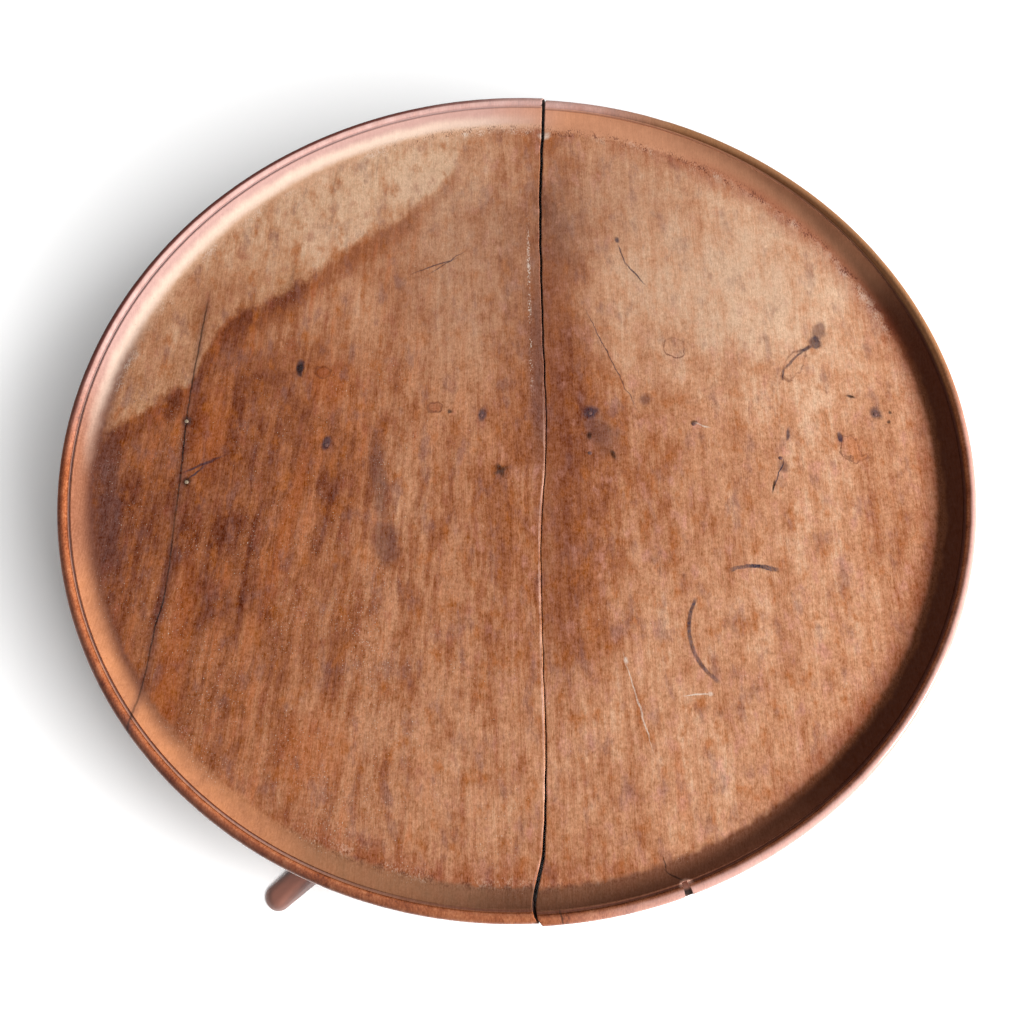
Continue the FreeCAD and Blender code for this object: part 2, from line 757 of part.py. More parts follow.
def make_strap_screws():
    """The strap's screws: one into the column and one into each leg."""
    body = new_body("brace_screws", turn=S.leg_turn)
    head_z = strap_z - S.strap_head_height
    for name, low_z, radius, height in (
        ("shank", strap_z, S.strap_screw_radius, S.strap_screw_length),
        ("head", head_z, S.strap_head_radius, S.strap_head_height),
    ):
        outer = new_sketch(body, f"outer_{name}", "XY_Plane", low_z)
        circles(outer, [(S.strap_screw_distance, ZERO)], radius)
        repeat(body, pad(body, outer, height), LEG_COUNT)
        middle = new_sketch(body, f"middle_{name}", "XY_Plane", low_z)
        circles(middle, [(ZERO, ZERO)], radius)
        pad(body, middle, height)
    return body


def check_document():
    """Stops the build if any object failed or any cut removed nothing."""
    for item in doc.Objects:
        if "Invalid" in item.State or "Error" in item.State:
            raise RuntimeError(f"{item.Name} failed: {item.State}")
        if item.TypeId == "PartDesign::Pocket" and item.Shape.Volume >= item.BaseFeature.Shape.Volume:
            raise RuntimeError(f"{item.Name} cuts nothing")


def write_parts(bodies):
    """Writes each sub-part to its own file after testing its shape."""
    os.makedirs("parts", exist_ok=True)
    for body in bodies:
        shape = body.Shape
        if shape.isNull() or not shape.isValid():
            raise RuntimeError(f"{body.Label} has no valid shape")
        shape.exportStep(os.path.join("parts", f"{body.Label}.step"))
        print(f"{body.Label}: {len(shape.Solids)} solids, {shape.Volume / 1000:.2f} cm3")


def main():
    """Builds every sub-part, tests the document and writes the parts."""
    bodies = [
        make_left_board(),
        make_right_board(),
        make_rim_patch(),
        make_cleat(),
        make_nails(),
        make_cleat_screws(),
        make_column(),
        make_wedge(),
        make_strap(),
        make_strap_screws(),
    ]
    bodies += [make_leg(name, index) for index, name in enumerate(LEG_NAMES)]
    doc.recompute()
    check_document()
    write_parts(bodies)


main()
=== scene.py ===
"""Looks of a round dished wine table: two split mahogany boards on a turned pillar with three swept legs."""

import math

import bmesh
import bpy
import numpy as np
from mathutils import Matrix, Vector, noise


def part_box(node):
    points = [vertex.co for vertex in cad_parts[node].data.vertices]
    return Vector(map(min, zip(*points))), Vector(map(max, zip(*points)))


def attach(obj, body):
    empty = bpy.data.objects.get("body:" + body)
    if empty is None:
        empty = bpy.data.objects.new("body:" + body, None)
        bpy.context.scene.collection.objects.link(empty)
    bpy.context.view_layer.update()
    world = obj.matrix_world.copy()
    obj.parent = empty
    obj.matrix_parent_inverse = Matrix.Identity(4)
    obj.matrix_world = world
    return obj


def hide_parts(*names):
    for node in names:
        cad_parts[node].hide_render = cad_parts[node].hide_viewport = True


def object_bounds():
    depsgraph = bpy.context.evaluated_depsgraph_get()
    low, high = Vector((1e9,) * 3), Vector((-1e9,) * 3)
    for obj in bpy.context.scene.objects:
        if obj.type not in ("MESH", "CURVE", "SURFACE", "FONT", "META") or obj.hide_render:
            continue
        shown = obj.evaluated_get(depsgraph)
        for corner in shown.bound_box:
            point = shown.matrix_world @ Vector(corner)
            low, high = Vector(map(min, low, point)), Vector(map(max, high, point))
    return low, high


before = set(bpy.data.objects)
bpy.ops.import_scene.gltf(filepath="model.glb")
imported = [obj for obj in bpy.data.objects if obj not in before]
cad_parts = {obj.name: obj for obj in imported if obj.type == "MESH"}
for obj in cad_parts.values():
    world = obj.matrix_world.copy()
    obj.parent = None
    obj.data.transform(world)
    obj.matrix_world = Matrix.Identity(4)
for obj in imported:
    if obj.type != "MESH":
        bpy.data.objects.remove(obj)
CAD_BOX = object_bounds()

bl_info = {
    "name": "Dished wine table",
    "version": (1, 0, 0),
    "blender": (4, 5, 0),
    "location": "View3D > Sidebar > Wine table",
    "description": "Builds a worn, dished table top on its tripod base, with its stage",
    "category": "Add Mesh",
}

MM = 0.001
BODY = "root"
TOP_HEIGHT = CAD_BOX[1].z
TOP_RADIUS = -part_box("top_board_left")[0].x
CLEAT_LOW, CLEAT_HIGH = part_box("cross_cleat")
COLUMN_LOW, COLUMN_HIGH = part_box("column")
STRAP_LOW, STRAP_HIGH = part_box("leg_brace_plate")
LEG_TURNS = {"front_left_leg": 219, "right_leg": 339, "back_leg": 99}
SMOOTH_ANGLE = math.radians(38)

# Lift of a colour while it is varied, so that dark wood varies too.
GRIT_LIFT = 0.1

# How far a cutting shape reaches past what it cuts, and the play of the bead's patch in its seat.
OVERRUN = 5 * MM
PATCH_PLAY = 0.06 * MM

# How far a dovetail reaches into its leg, and its lift over the strap.
TAIL_ROOT = 6 * MM
TAIL_LIFT = 0.05 * MM

# Share of rust on the screws and on the strap.
SCREW_RUST, STRAP_RUST = 0.35, 0.75

# Radii of the rim's zones, in mm: foot and run of the hollow, middle of the groove.
HOLLOW_FOOT = 258.8
HOLLOW_RUN = 13
GROOVE_MIDDLE = 272.9

# The split through the top, in mm: across, along and half of its gap, from the near rim to the far one.
SPLIT_LINE = (
    (4.5, -280.0, 1.10),
    (3.4, -271.6, 1.10),
    (8.7, -243.6, 0.94),
    (12.6, -186.8, 0.66),
    (13.2, -112.0, 0.50),
    (14.3, -51.8, 0.50),
    (19.6, 14.0, 0.55),
    (20.4, 109.2, 0.77),
    (22.1, 198.8, 0.99),
    (27.2, 280.0, 1.10),
)
SPLIT_COURSE = tuple((along, across) for across, along, _ in SPLIT_LINE)

# The gap seen from above, against those half gaps: a factor, and the mm by which it has closed.
GAP_FACTOR, GAP_CLOSING = 1.35, 0.5

# Raggedness of the split: waves that both edges share, and splinters of each edge's own.
WAVE_DEPTH, WAVE_LENGTH = 0.45 * MM, 13 * MM
SPLINTER_DEPTH, SPLINTER_LENGTH = 0.16 * MM, 3 * MM

# Nails on the dish floor and screws under the cleat, in mm.
LEFT_NAILS = ((-205.3, 37.0), (-202.6, -5.7), (-117.1, 17.2), (-20.3, 35.2))
RIGHT_NAILS = ((48.0, 34.3), (46.6, 6.2), (112.2, 24.4), (163.9, -1.1), (225.9, 27.7))
CLEAT_SCREWS = tuple((x, y) for x in (-183.8, -76.0, 76.0, 183.8) for y in (-29.7, 29.7))

# Outlines as shares: height and radius of the turned swellings, run and rise of the legs.
VASE_SHARES = ((0.11, 0.90), (0.175, 1.0), (0.262, 0.87), (0.350, 0.60), (0.415, 0.46))
VASE_END_SHARE = 0.458
SHAFT_SHARES = ((0.62, 1.0), (0.77, 0.92))
SHAFT_END_SHARE = 0.895
LEG_TOP_SHARES = ((0.13, 0.985), (0.27, 0.89), (0.43, 0.63), (0.58, 0.36), (0.75, 0.128), (0.89, 0.04))
LEG_BOTTOM_SHARES = ((0.31, 0.915), (0.45, 0.64), (0.60, 0.30), (0.735, 0.075))

# Wear: height of the pillar's middle ring, and distances along a leg from its polished part to its toe.
WAIST_HEIGHT = 284.5 * MM
TOE_WEAR = (150 * MM, 245 * MM, 279 * MM)

# Grid of one board: steps in from the split edge, rows over the dish floor, columns round the rim.
EDGE_STEPS = np.array((0.0, 0.1, 0.25, 0.5, 0.9, 1.6, 2.6)) * MM
FLOOR_ROWS = 110
RIM_COLUMNS = 170
TOP_FACE, UNDER_FACE, SPLIT_FACE = range(3)


def shade(*levels):
    """A colour written in screen levels from 0 to 255, as linear values."""
    return (*(((level / 255 + 0.055) / 1.055) ** 2.4 for level in levels), 1.0)


def length(name, size, description):
    """A length that the sidebar shows, in metres."""
    return bpy.props.FloatProperty(
        name=name, description=description, default=size, unit="LENGTH", precision=5)


def amount(name, value, description, high=100.0):
    """A plain number that the sidebar shows."""
    return bpy.props.FloatProperty(name=name, description=description, default=value, min=0.0, max=high)


def turn(name, degrees, description):
    """An angle that the sidebar shows."""
    return bpy.props.FloatProperty(
        name=name, description=description, default=math.radians(degrees), unit="ROTATION")


def colour(name, levels, description):
    """A colour that the sidebar shows."""
    return bpy.props.FloatVectorProperty(
        name=name, description=description, default=shade(*levels), size=4, subtype="COLOR", min=0.0, max=1.0)


class TopSizes(bpy.types.PropertyGroup):
    """Section of the dished top and its split"""
    dish_depth: length("Dish depth", 8.5 * MM, "Height of the rim over the dish floor")
    bead_radius: length("Bead radius", 3 * MM, "Radius of the bead round the rim")
    quirk_width: length("Quirk width", 2.2 * MM, "Width of the groove inside the bead")
    quirk_depth: length("Quirk depth", 0.16 * MM, "Depth of the waxed-up groove inside the bead")
    quirk_ease: length("Quirk ease", 0.35 * MM, "Rounding of the groove's corners")
    cove_width: length("Cove width", 13 * MM, "Width of the hollow between groove and floor")
    cove_drop: length("Cove drop", 6 * MM, "Fall of the hollow between groove and floor")
    edge_fillet: length("Edge fillet", 1.5 * MM, "Flat under the bead")
    under_width: length("Under width", 14 * MM, "Width of the rounding under the rim")
    under_round: length("Under round", 15 * MM, "Radius of the rounding under the rim")
    split_slant: length("Split slant", 3.2 * MM, "How far the split leans to the right through the board")
    split_wear: length("Split wear", 0.45 * MM, "Rounding of the split's upper edges")
    split_slip: length("Split slip", 1.5 * MM, "How far the right half slipped towards the viewer")
    dent_depth: length("Dent depth", 0.3 * MM, "Depth of the dents along the bead")
    patch_length: length("Patch length", 13 * MM, "Length of the patch let into the bead")
    patch_depth: length("Patch depth", 9 * MM, "Depth of the patch let into the bead")
    patch_skew: length("Patch skew", 3 * MM, "Slant of the patch's joint")
    notch_turn: turn("Notch turn", -71.7, "Where the bead is broken out")
    notch_width: length("Notch width", 4.5 * MM, "Width of the broken notch")
    notch_flare: length("Notch flare", 1.5 * MM, "How much the notch widens outwards")
    notch_depth: length("Notch depth", 5 * MM, "Depth of the broken notch")
    cleat_bevel: length("Cleat bevel", 13 * MM, "Bevel under the ends of the cleat")
    cleat_ease: length("Cleat ease", 1.2 * MM, "Rounding of the cleat's edges")


class PillarSizes(bpy.types.PropertyGroup):
    """Section of the turned pillar"""
    base_height: length("Base height", 70 * MM, "Height of the block that the legs join")
    base_radius: length("Base radius", 30 * MM, "Radius of the block that the legs join")
    vase_foot_radius: length("Vase foot radius", 24 * MM, "Radius at the foot of the vase")
    vase_radius: length("Vase radius", 36.5 * MM, "Largest radius of the vase")
    neck_radius: length("Neck radius", 15.5 * MM, "Radius of the vase's neck")
    shaft_radius: length("Shaft radius", 18 * MM, "Largest radius of the shaft")
    shaft_top_radius: length("Shaft top radius", 14.5 * MM, "Radius at the top of the shaft")
    foot_ring_radius: length("Foot ring radius", 26 * MM, "Stem radius of the lowest ring")
    foot_ring_height: length("Foot ring height", 10 * MM, "Height of the lowest ring")
    waist_ring_radius: length("Waist ring radius", 19 * MM, "Stem radius of the middle ring")
    waist_ring_height: length("Waist ring height", 9 * MM, "Height of the middle ring")
    neck_ring_radius: length("Neck ring radius", 17.5 * MM, "Stem radius of the highest ring")
    neck_ring_height: length("Neck ring height", 8 * MM, "Height of the highest ring")
    fillet_height: length("Fillet height", 3 * MM, "Height of the flats beside each ring")
    collar_radius: length("Collar radius", 35 * MM, "Radius of the collar under the cleat")
    collar_edge: length("Collar edge", 4 * MM, "Thickness of the collar's edge")
    collar_hollow: length("Collar hollow", 14 * MM, "Radius of the hollow under the collar")
    tenon_radius: length("Tenon radius", 14 * MM, "Radius of the tenon through the cleat")
    corner_ease: length("Corner ease", 0.5 * MM, "Rounding of the turned corners")
    segments: bpy.props.IntProperty(
        name="Segments", description="Faces round the pillar", default=96, min=12)


class LegSizes(bpy.types.PropertyGroup):
    """Shape of a swept leg and its dovetail"""
    reach: length("Reach", 279 * MM, "Distance of the toe from the pillar's axis")
    rise: length("Rise", 64 * MM, "Height of the leg's head on the pillar")
    width: length("Width", 21 * MM, "Thickness of the leg")
    toe_height: length("Toe height", 14 * MM, "Height of the toe")
    pad_length: length("Pad length", 41 * MM, "Length of the flat that stands on the floor")
    strap_seat: length("Strap seat", 37 * MM, "Length of the flat that the strap lies on")
    upper_round: length("Upper round", 7.5 * MM, "Rounding of the upper edges")
    lower_ease: length("Lower ease", 1.5 * MM, "Rounding of the lower edges")
    flat_distance: length("Flat distance", 27.5 * MM, "Distance of the leg's seat from the axis")
    tail_depth: length("Tail depth", 12 * MM, "Depth of the dovetail")
    tail_neck: length("Tail neck", 10 * MM, "Width of the dovetail at the seat")
    tail_end: length("Tail end", 15 * MM, "Width of the dovetail's inner end")
    tail_height: length("Tail height", 58 * MM, "Height of the dovetail")
    clearance: length("Clearance", 0.1 * MM, "Play of the dovetail in its socket")


class IronSizes(bpy.types.PropertyGroup):
    """Sizes of the nails, screws and strap"""
    nail_head: length("Nail head", 1.25 * MM, "Radius of a nail's head")
    nail_proud: length("Nail proud", 0.3 * MM, "How far a nail's head stands over the floor")
    nail_shank: length("Nail shank", 0.9 * MM, "Radius of a nail's shank")
    nail_length: length("Nail length", 27 * MM, "Length of a nail")
    screw_head: length("Screw head", 4.2 * MM, "Radius of a cleat screw's head")
    screw_crown: length("Screw crown", 1.1 * MM, "Height of a cleat screw's crown")
    screw_sink: length("Screw sink", 1.4 * MM, "How deep a cleat screw's head lies in the cleat")
    screw_shank: length("Screw shank", 2.1 * MM, "Radius of a cleat screw")
    screw_length: length("Screw length", 27 * MM, "Length of a cleat screw")
    strap_hub: length("Strap hub", 19 * MM, "Radius of the strap's middle")
    strap_arm: length("Strap arm", 17 * MM, "Width of the strap's arms")
    strap_reach: length("Strap reach", 52 * MM, "Where the strap's rounded ends begin")
    strap_ease: length("Strap ease", 0.6 * MM, "Rounding of the strap's edges")
    strap_screws: length("Strap screws", 49 * MM, "Distance of the strap's screws from the axis")
    strap_head: length("Strap screw head", 3.8 * MM, "Radius of a strap screw's head")
    strap_crown: length("Strap screw crown", 1.9 * MM, "Height of a strap screw's head")
    strap_shank: length("Strap screw shank", 1.9 * MM, "Radius of a strap screw")
    strap_length: length("Strap screw length", 18 * MM, "Length of a strap screw")
    slot_width: length("Slot width", 0.9 * MM, "Width of the slots in the screws")


class Colours(bpy.types.PropertyGroup):
    """Colours of the woods, stains and irons, with painted light and shade on the rim and split"""
    tone_deep: colour("Deepest tone", (78, 36, 22), "Old polish where it is darkest")
    tone_dark: colour("Dark tone", (122, 64, 40), "Old polish in the shade")
    tone_middle: colour("Middle tone", (165, 101, 66), "Worn polish")
    tone_light: colour("Light tone", (205, 148, 112), "Faded polish")
    tone_pale: colour("Palest tone", (235, 194, 161), "Bleached wood")
    orange: colour("Orange", (182, 94, 42), "Warm streaks of the grain")
    # Soot and shadow: old dirt, and painted shadow of the rim in its hollow on the side away from the low
    # lamp.
    soot_and_shadow: colour("Soot", (82, 38, 22), "Old dirt in the shaded hollow of the rim")
    blush: colour("Blush", (206, 144, 126), "Pinkish mottling of the wood")
    amber: colour("Amber", (174, 98, 46), "Yellowish mottling of the wood")
    # Split lip: a painted highlight along the left board's upper edge, which faces the low lamp; at the
    # notch, fresh broken wood.
    lip: colour("Split lip", (238, 186, 164), "Rubbed upper edge of the split")
    # Bead pink: painted light, the bead's pale pink where it faces the low lamp, with the sky's sheen.
    bead_pink: colour("Bead pink", (214, 180, 174), "Bead bleached at the far left")
    bead_gold: colour("Bead gold", (162, 120, 84), "Bead yellowed at the far right")
    # Painted highlight: the bead pale where the low lamp falls on it at the near right.
    bead_highlight: colour("Bead bright", (206, 162, 152), "Bead rubbed bare at the near right")
    peach: colour("Peach", (208, 140, 96), "Hollow of the rim at the near left")
    haze: colour("Haze", (136, 94, 86), "Greyish mottling of the wood")
    ash: colour("Ash", (186, 150, 124), "Wood gone grey in the light")
    stain_edge: colour("Stain edge", (104, 54, 36), "Dried edges of wet stains")
    plum: colour("Plum", (98, 54, 46), "Dark purplish streaks of the grain")
    tan: colour("Tan", (196, 150, 108), "Wood bleached by water")
    # Painted light: the hollow's cream, pink and tan where it faces the low lamp, with the sky's sheen.
    cream: colour("Cream", (244, 216, 194), "Palest foot of the rim's hollow")
    cove_pink: colour("Cove pink", (194, 156, 148), "Upper hollow of the rim on its lit side")
    foot_tan: colour("Foot tan", (226, 177, 138), "Foot of the rim's hollow on its lit side")
    cove_far: colour("Cove far", (208, 147, 112), "Hollow of the rim at the far side")
    cove_light: colour("Cove light", (182, 122, 92), "Hollow of the rim, pale grain")
    cove_dark: colour("Cove dark", (126, 76, 54), "Hollow of the rim, dark grain")
    bead_light: colour("Bead light", (204, 134, 92), "Rubbed bead")
    bead: colour("Bead", (166, 92, 54), "Polished bead")
    bead_dark: colour("Bead dark", (92, 40, 24), "Dark spots of the bead")
    # Painted shade: the bead's outer side and the edge under it, darker where they turn from the low lamp.
    edge_dark: colour("Edge dark", (98, 36, 26), "Outer edge under the bead")
    violet: colour("Violet", (104, 68, 62), "Iron and ink drawn into the grain")
    ink: colour("Ink", (46, 42, 58), "Ink blots and ring marks")
    # Black: cracks and dirt, and also painted shade inside the split and in the notch's cavity.
    black: colour("Black", (26, 18, 17), "Cracks and old dirt")
    red: colour("Red", (146, 70, 44), "Polish worn to its red ground")
    quirk_grey: colour("Quirk grey", (166, 140, 140), "Dust and wax in the groove")
    # Grime and shade: dirt in the near hollow, partly painted shade.
    grime_and_shade: colour("Grime", (128, 92, 68), "Dirt in the hollow of the rim")
    chalk: colour("Chalk", (232, 214, 198), "Scratches, specks and crust")
    bare_dark: colour("Bare dark", (92, 60, 42), "Unpolished wood, dark streaks")
    bare_light: colour("Bare light", (150, 106, 76), "Unpolished wood, pale streaks")
    # Split wood: darkened as painted shade of the narrow gap, with its dirt.
    split_wood: colour("Split wood", (64, 38, 28), "Dirty wood inside the split")
    base_dark: colour("Base dark", (46, 22, 16), "Darkest streaks of the base")
    base_middle: colour("Base middle", (98, 51, 39), "Body colour of the base")
    base_worn: colour("Base worn", (150, 98, 82), "Rubbed edges of the base")
    iron: colour("Iron", (74, 70, 68), "Bare dull iron")
    nail: colour("Nail", (168, 152, 128), "Rubbed nail heads")
    iron_dark: colour("Iron dark", (38, 34, 33), "Blackened iron")
    rust: colour("Rust", (112, 62, 38), "Rust on the iron")


class StageSettings(bpy.types.PropertyGroup):
    """Camera, lamps and floor"""
    lens: amount("Lens", 54.49, "Focal length on a 36 mm sensor, in mm", 500.0)
    key_turn: turn("Key turn", -16, "Where the low lamp stands round the table")
    key_lift: turn("Key lift", 19, "Height angle of the low lamp")
    key_distance: length("Key distance", 2.6, "Distance of the low lamp")
    key_size: length("Key size", 0.45, "Side of the low lamp")
    key_level: amount("Key level", 0.66, "Share of a white level top that the low lamp lights")
    floor_shift: length("Floor lamp shift", 0.17, "How far right of the camera the floor's lamp stands")
    floor_size: length("Floor lamp size", 0.32, "Side of the lamp for the floor")
    floor_level: amount("Floor level", 2.1, "Share of the floor's white that its lamp gives")
    sky_level: amount("Sky level", 0.3, "Even light from all sides")
    floor_side: length("Floor side", 14.0, "Side of the floor")
    glow_start: length("Glow start", 0.8, "Distance at which the floor begins to turn plain white")
    glow_end: length("Glow end", 1.5, "Distance from which the floor is plain white")


GROUPS = {
    "wine_top": TopSizes,
    "wine_pillar": PillarSizes,
    "wine_leg": LegSizes,
    "wine_iron": IronSizes,
    "wine_colours": Colours,
    "wine_stage": StageSettings,
}


# Node sheets: values are worked with as Python expressions

class Field:
    """The output of a node; sums and products with it add their Math nodes."""

    def __init__(self, sheet, socket):
        self.sheet = sheet
        self.socket = socket

    def __add__(self, other):
        return self.sheet.math("ADD", self, other)

    __radd__ = __add__

    def __sub__(self, other):
        return self.sheet.math("SUBTRACT", self, other)

    def __rsub__(self, other):
        return self.sheet.math("SUBTRACT", other, self)

    def __mul__(self, other):
        return self.sheet.math("MULTIPLY", self, other)

    __rmul__ = __mul__

    def __truediv__(self, other):
        return self.sheet.math("DIVIDE", self, other)

    def __rtruediv__(self, other):
        return self.sheet.math("DIVIDE", other, self)

    def __abs__(self):
        return self.sheet.math("ABSOLUTE", self)

    def __or__(self, other):
        return self.sheet.math("MAXIMUM", self, other)

    def rises(self, low, high):
        """0 at low and 1 at high, smooth between them; it falls where high is the lower one."""
        return self.sheet.node(
            "ShaderNodeMapRange", {"interpolation_type": "SMOOTHSTEP"},
            {"Value": self, "From Min": low, "From Max": high})


class Sheet:
    """A node tree that is built by calls."""

    def __init__(self, tree):
        self.tree = tree

    def node(self, kind, settings=None, inputs=None, output=0):
        """Adds a node with its settings, then the values or links of its sockets."""
        node = self.tree.nodes.new(kind)
        for key, value in (settings or {}).items():
            if key == "stops":
                set_stops(node.color_ramp, value)
            elif key == "knots":
                set_knots(node.mapping, value)
            else:
                setattr(node, key, value)
        for key, value in (inputs or {}).items():
            self.feed(node.inputs[key], value)
        return Field(self, node.outputs[output])

    def feed(self, socket, value):
        """Links a field to a socket, or sets the socket's value."""
        if isinstance(value, Field):
            self.tree.links.new(value.socket, socket)
        else:
            socket.default_value = value

    def math(self, operation, *values):
        """One Math node."""
        return self.node("ShaderNodeMath", {"operation": operation}, dict(enumerate(values)))

    def vector(self, operation, *values, output=0):
        """One Vector Math node."""
        return self.node("ShaderNodeVectorMath", {"operation": operation}, dict(enumerate(values)), output)

    def combine(self, x, y, z):
        """A vector of three values."""
        return self.node("ShaderNodeCombineXYZ", None, {"X": x, "Y": y, "Z": z})

    def seen(self):
        """1 for rays from the camera, a mirror or a pane, which show the stage as it is."""
        rays = self.tree.nodes.new("ShaderNodeLightPath").outputs
        direct = Field(self, rays["Is Camera Ray"])
        return direct | Field(self, rays["Is Glossy Ray"]) | Field(self, rays["Is Transmission Ray"])

    def split(self, vector):
        """The three values of a vector."""
        return [self.node("ShaderNodeSeparateXYZ", None, {0: vector}, axis) for axis in range(3)]


def set_stops(ramp, stops):
    """Sets a colour ramp's stops, given as place and colour."""
    while len(ramp.elements) < len(stops):
        ramp.elements.new(0.5)
    for element, (place, tint) in zip(ramp.elements, stops):
        element.position = place
        element.color = tint


def set_knots(mapping, knots):
    """Sets the points of a curve node, given as pairs from 0 to 1."""
    mapping.extend = "HORIZONTAL"
    points = mapping.curves[0].points
    while len(points) < len(knots):
        points.new(0.5, 0.5)
    for point, knot in zip(points, knots):
        point.location = knot
    mapping.update()


class Finish(Sheet):
    """A material whose patterns are written in millimetres."""

    def __init__(self, name):
        self.material = bpy.data.materials.new(name)
        self.material.use_nodes = True
        super().__init__(self.material.node_tree)
        self.shader = self.tree.nodes["Principled BSDF"]

    def object_place(self):
        """Object coordinates in mm."""
        place = self.node("ShaderNodeTexCoord", output="Object")
        return self.stretched(place, (1 / MM, 1 / MM, 1 / MM))

    def board_place(self):
        """Object coordinates in mm, along the boards first."""
        across, along, up = self.split(self.object_place())
        return self.combine(along, across, up)

    def own_place(self, name):
        """The piece's own attribute in mm."""
        place = self.node("ShaderNodeAttribute", {"attribute_name": name}, output="Vector")
        return self.stretched(place, (1 / MM, 1 / MM, 1 / MM))

    def stretched(self, place, factors):
        """A place multiplied along each axis."""
        return self.vector("MULTIPLY", place, factors)

    def noise(self, place, sizes, detail=3.0, roughness=0.55):
        """Noise about zero whose lumps have the given sizes in mm."""
        scaled = self.stretched(place, tuple(1 / size for size in sizes))
        lumps = self.node("ShaderNodeTexNoise", None, {
            "Vector": scaled, "Scale": 1.0, "Detail": detail, "Roughness": roughness})
        return lumps - 0.5

    def ramp(self, value, *stops):
        """A colour from a value by a ramp."""
        return self.node("ShaderNodeValToRGB", {"stops": stops}, {0: value})

    def blend(self, share, below, above):
        """Mixes two colours."""
        settings = {"data_type": "RGBA", "blend_type": "MIX"}
        return self.node("ShaderNodeMix", settings, {0: share, 6: below, 7: above}, 2)

    def gritty(self, colour_below, grit):
        """Lightens and darkens a colour by a value about zero, with its hue kept."""
        share = grit + 1.0
        raised = self.vector("ADD", colour_below, (GRIT_LIFT, GRIT_LIFT, GRIT_LIFT))
        varied = self.vector("MULTIPLY", raised, self.combine(share, share, share))
        settled = self.vector("SUBTRACT", varied, (GRIT_LIFT, GRIT_LIFT, GRIT_LIFT))
        return self.vector("MAXIMUM", settled, (0.0, 0.0, 0.0))

    def line_at(self, value, places):
        """The second number of a drawn line of places, for a value of the first."""
        first, second = np.array(sorted(places)).T
        low, high = second.min(), second.max()
        run = first[-1] - first[0]
        knots = list(zip((first - first[0]) / run, (second - low) / (high - low)))
        share = (value - float(first[0])) / float(run)
        drawn = self.node("ShaderNodeFloatCurve", {"knots": knots}, {"Value": share})
        return drawn * float(high - low) + float(low)

    def bump(self, height, depth):
        """Gives the surface a relief; the height's unit is the given depth."""
        relief = self.node("ShaderNodeBump", None, {"Strength": 1.0, "Distance": depth, "Height": height})
        self.feed(self.shader.inputs["Normal"], relief)

    def set(self, **values):
        """Sets or links the shader's sockets; an underscore stands for a space."""
        for key, value in values.items():
            self.feed(self.shader.inputs[key.replace("_", " ")], value)
        return self.material


class Marks:
    """Stains and scratches drawn on the top; the place holds mm across, mm along and 1."""

    def __init__(self, finish, place, rag):
        self.finish = finish
        self.place = place
        self.rag = rag

    def local(self, x, y, across, along, degrees):
        """The place measured from a mark's middle, in its half sizes."""
        cos, sin = math.cos(math.radians(degrees)), math.sin(math.radians(degrees))
        wide = (cos / across, sin / across, -(x * cos + y * sin) / across)
        long = (-sin / along, cos / along, (x * sin - y * cos) / along)
        dots = [self.finish.vector("DOT_PRODUCT", self.place, row, output="Value") for row in (wide, long)]
        return self.finish.combine(*dots, 0.0)

    def blot(self, x, y, across, along, degrees=0.0, soft=0.3, ragged=0.0):
        """A rounded stain with a soft or ragged edge."""
        reach = self.finish.vector("LENGTH", self.local(x, y, across, along, degrees), output="Value")
        if ragged:
            reach = reach + self.rag * ragged
        return reach.rises(1 + soft, 1 - soft)

    def outline(self, x, y, across, along, degrees, line, ragged):
        """The dried edge of a stain; the line's half width is a share of its half sizes."""
        reach = self.finish.vector("LENGTH", self.local(x, y, across, along, degrees), output="Value")
        return abs(reach + self.rag * ragged - 1.0).rises(line, line * 0.3)

    def stroke(self, x0, y0, x1, y1, width, soft=0.5, ragged=0.0):
        """A scratch that thins out at both ends."""
        half = math.hypot(x1 - x0, y1 - y0) / 2
        degrees = math.degrees(math.atan2(y1 - y0, x1 - x0))
        return self.blot((x0 + x1) / 2, (y0 + y1) / 2, half, width / 2, degrees, soft, ragged)

    def ring(self, x, y, radius, width, middle, spread):
        """Part of the ring that a glass left, about a middle angle."""
        local = self.local(x, y, 1.0, 1.0, 0.0)
        reach = self.finish.vector("LENGTH", local, output="Value")
        towards = (math.cos(math.radians(middle)), math.sin(math.radians(middle)), 0.0)
        unit = self.finish.vector("NORMALIZE", local)
        facing = self.finish.vector("DOT_PRODUCT", unit, towards, output="Value")
        limit = math.cos(math.radians(spread))
        line = abs(reach + self.rag * 2.0 - radius).rises(width / 2 + 0.5, width / 2 - 0.5)
        return line * facing.rises(limit - 0.02, limit + 0.16 * (1 - limit) + 0.02)

    def all(self, shape, table):
        """All the marks of one table as one mask."""
        together = shape(*table[0])
        for row in table[1:]:
            together = together | shape(*row)
        return together


# Meshes

def soften(mesh):
    """Smooth shading with the sharp corners kept."""
    mesh.shade_smooth()
    mesh.set_sharp_from_angle(angle=SMOOTH_ANGLE)
    return mesh


def closed_mesh(name, points, faces, slots=None):
    """A mesh with its doubles merged and its faces pointing outwards."""
    mesh = bpy.data.meshes.new(name)
    mesh.from_pydata(points, [], faces)
    if slots is not None:
        mesh.polygons.foreach_set("material_index", slots)
    form = bmesh.new()
    form.from_mesh(mesh)
    bmesh.ops.remove_doubles(form, verts=form.verts, dist=2e-6)
    bmesh.ops.recalc_face_normals(form, faces=form.faces)
    form.to_mesh(mesh)
    form.free()
    return soften(mesh)


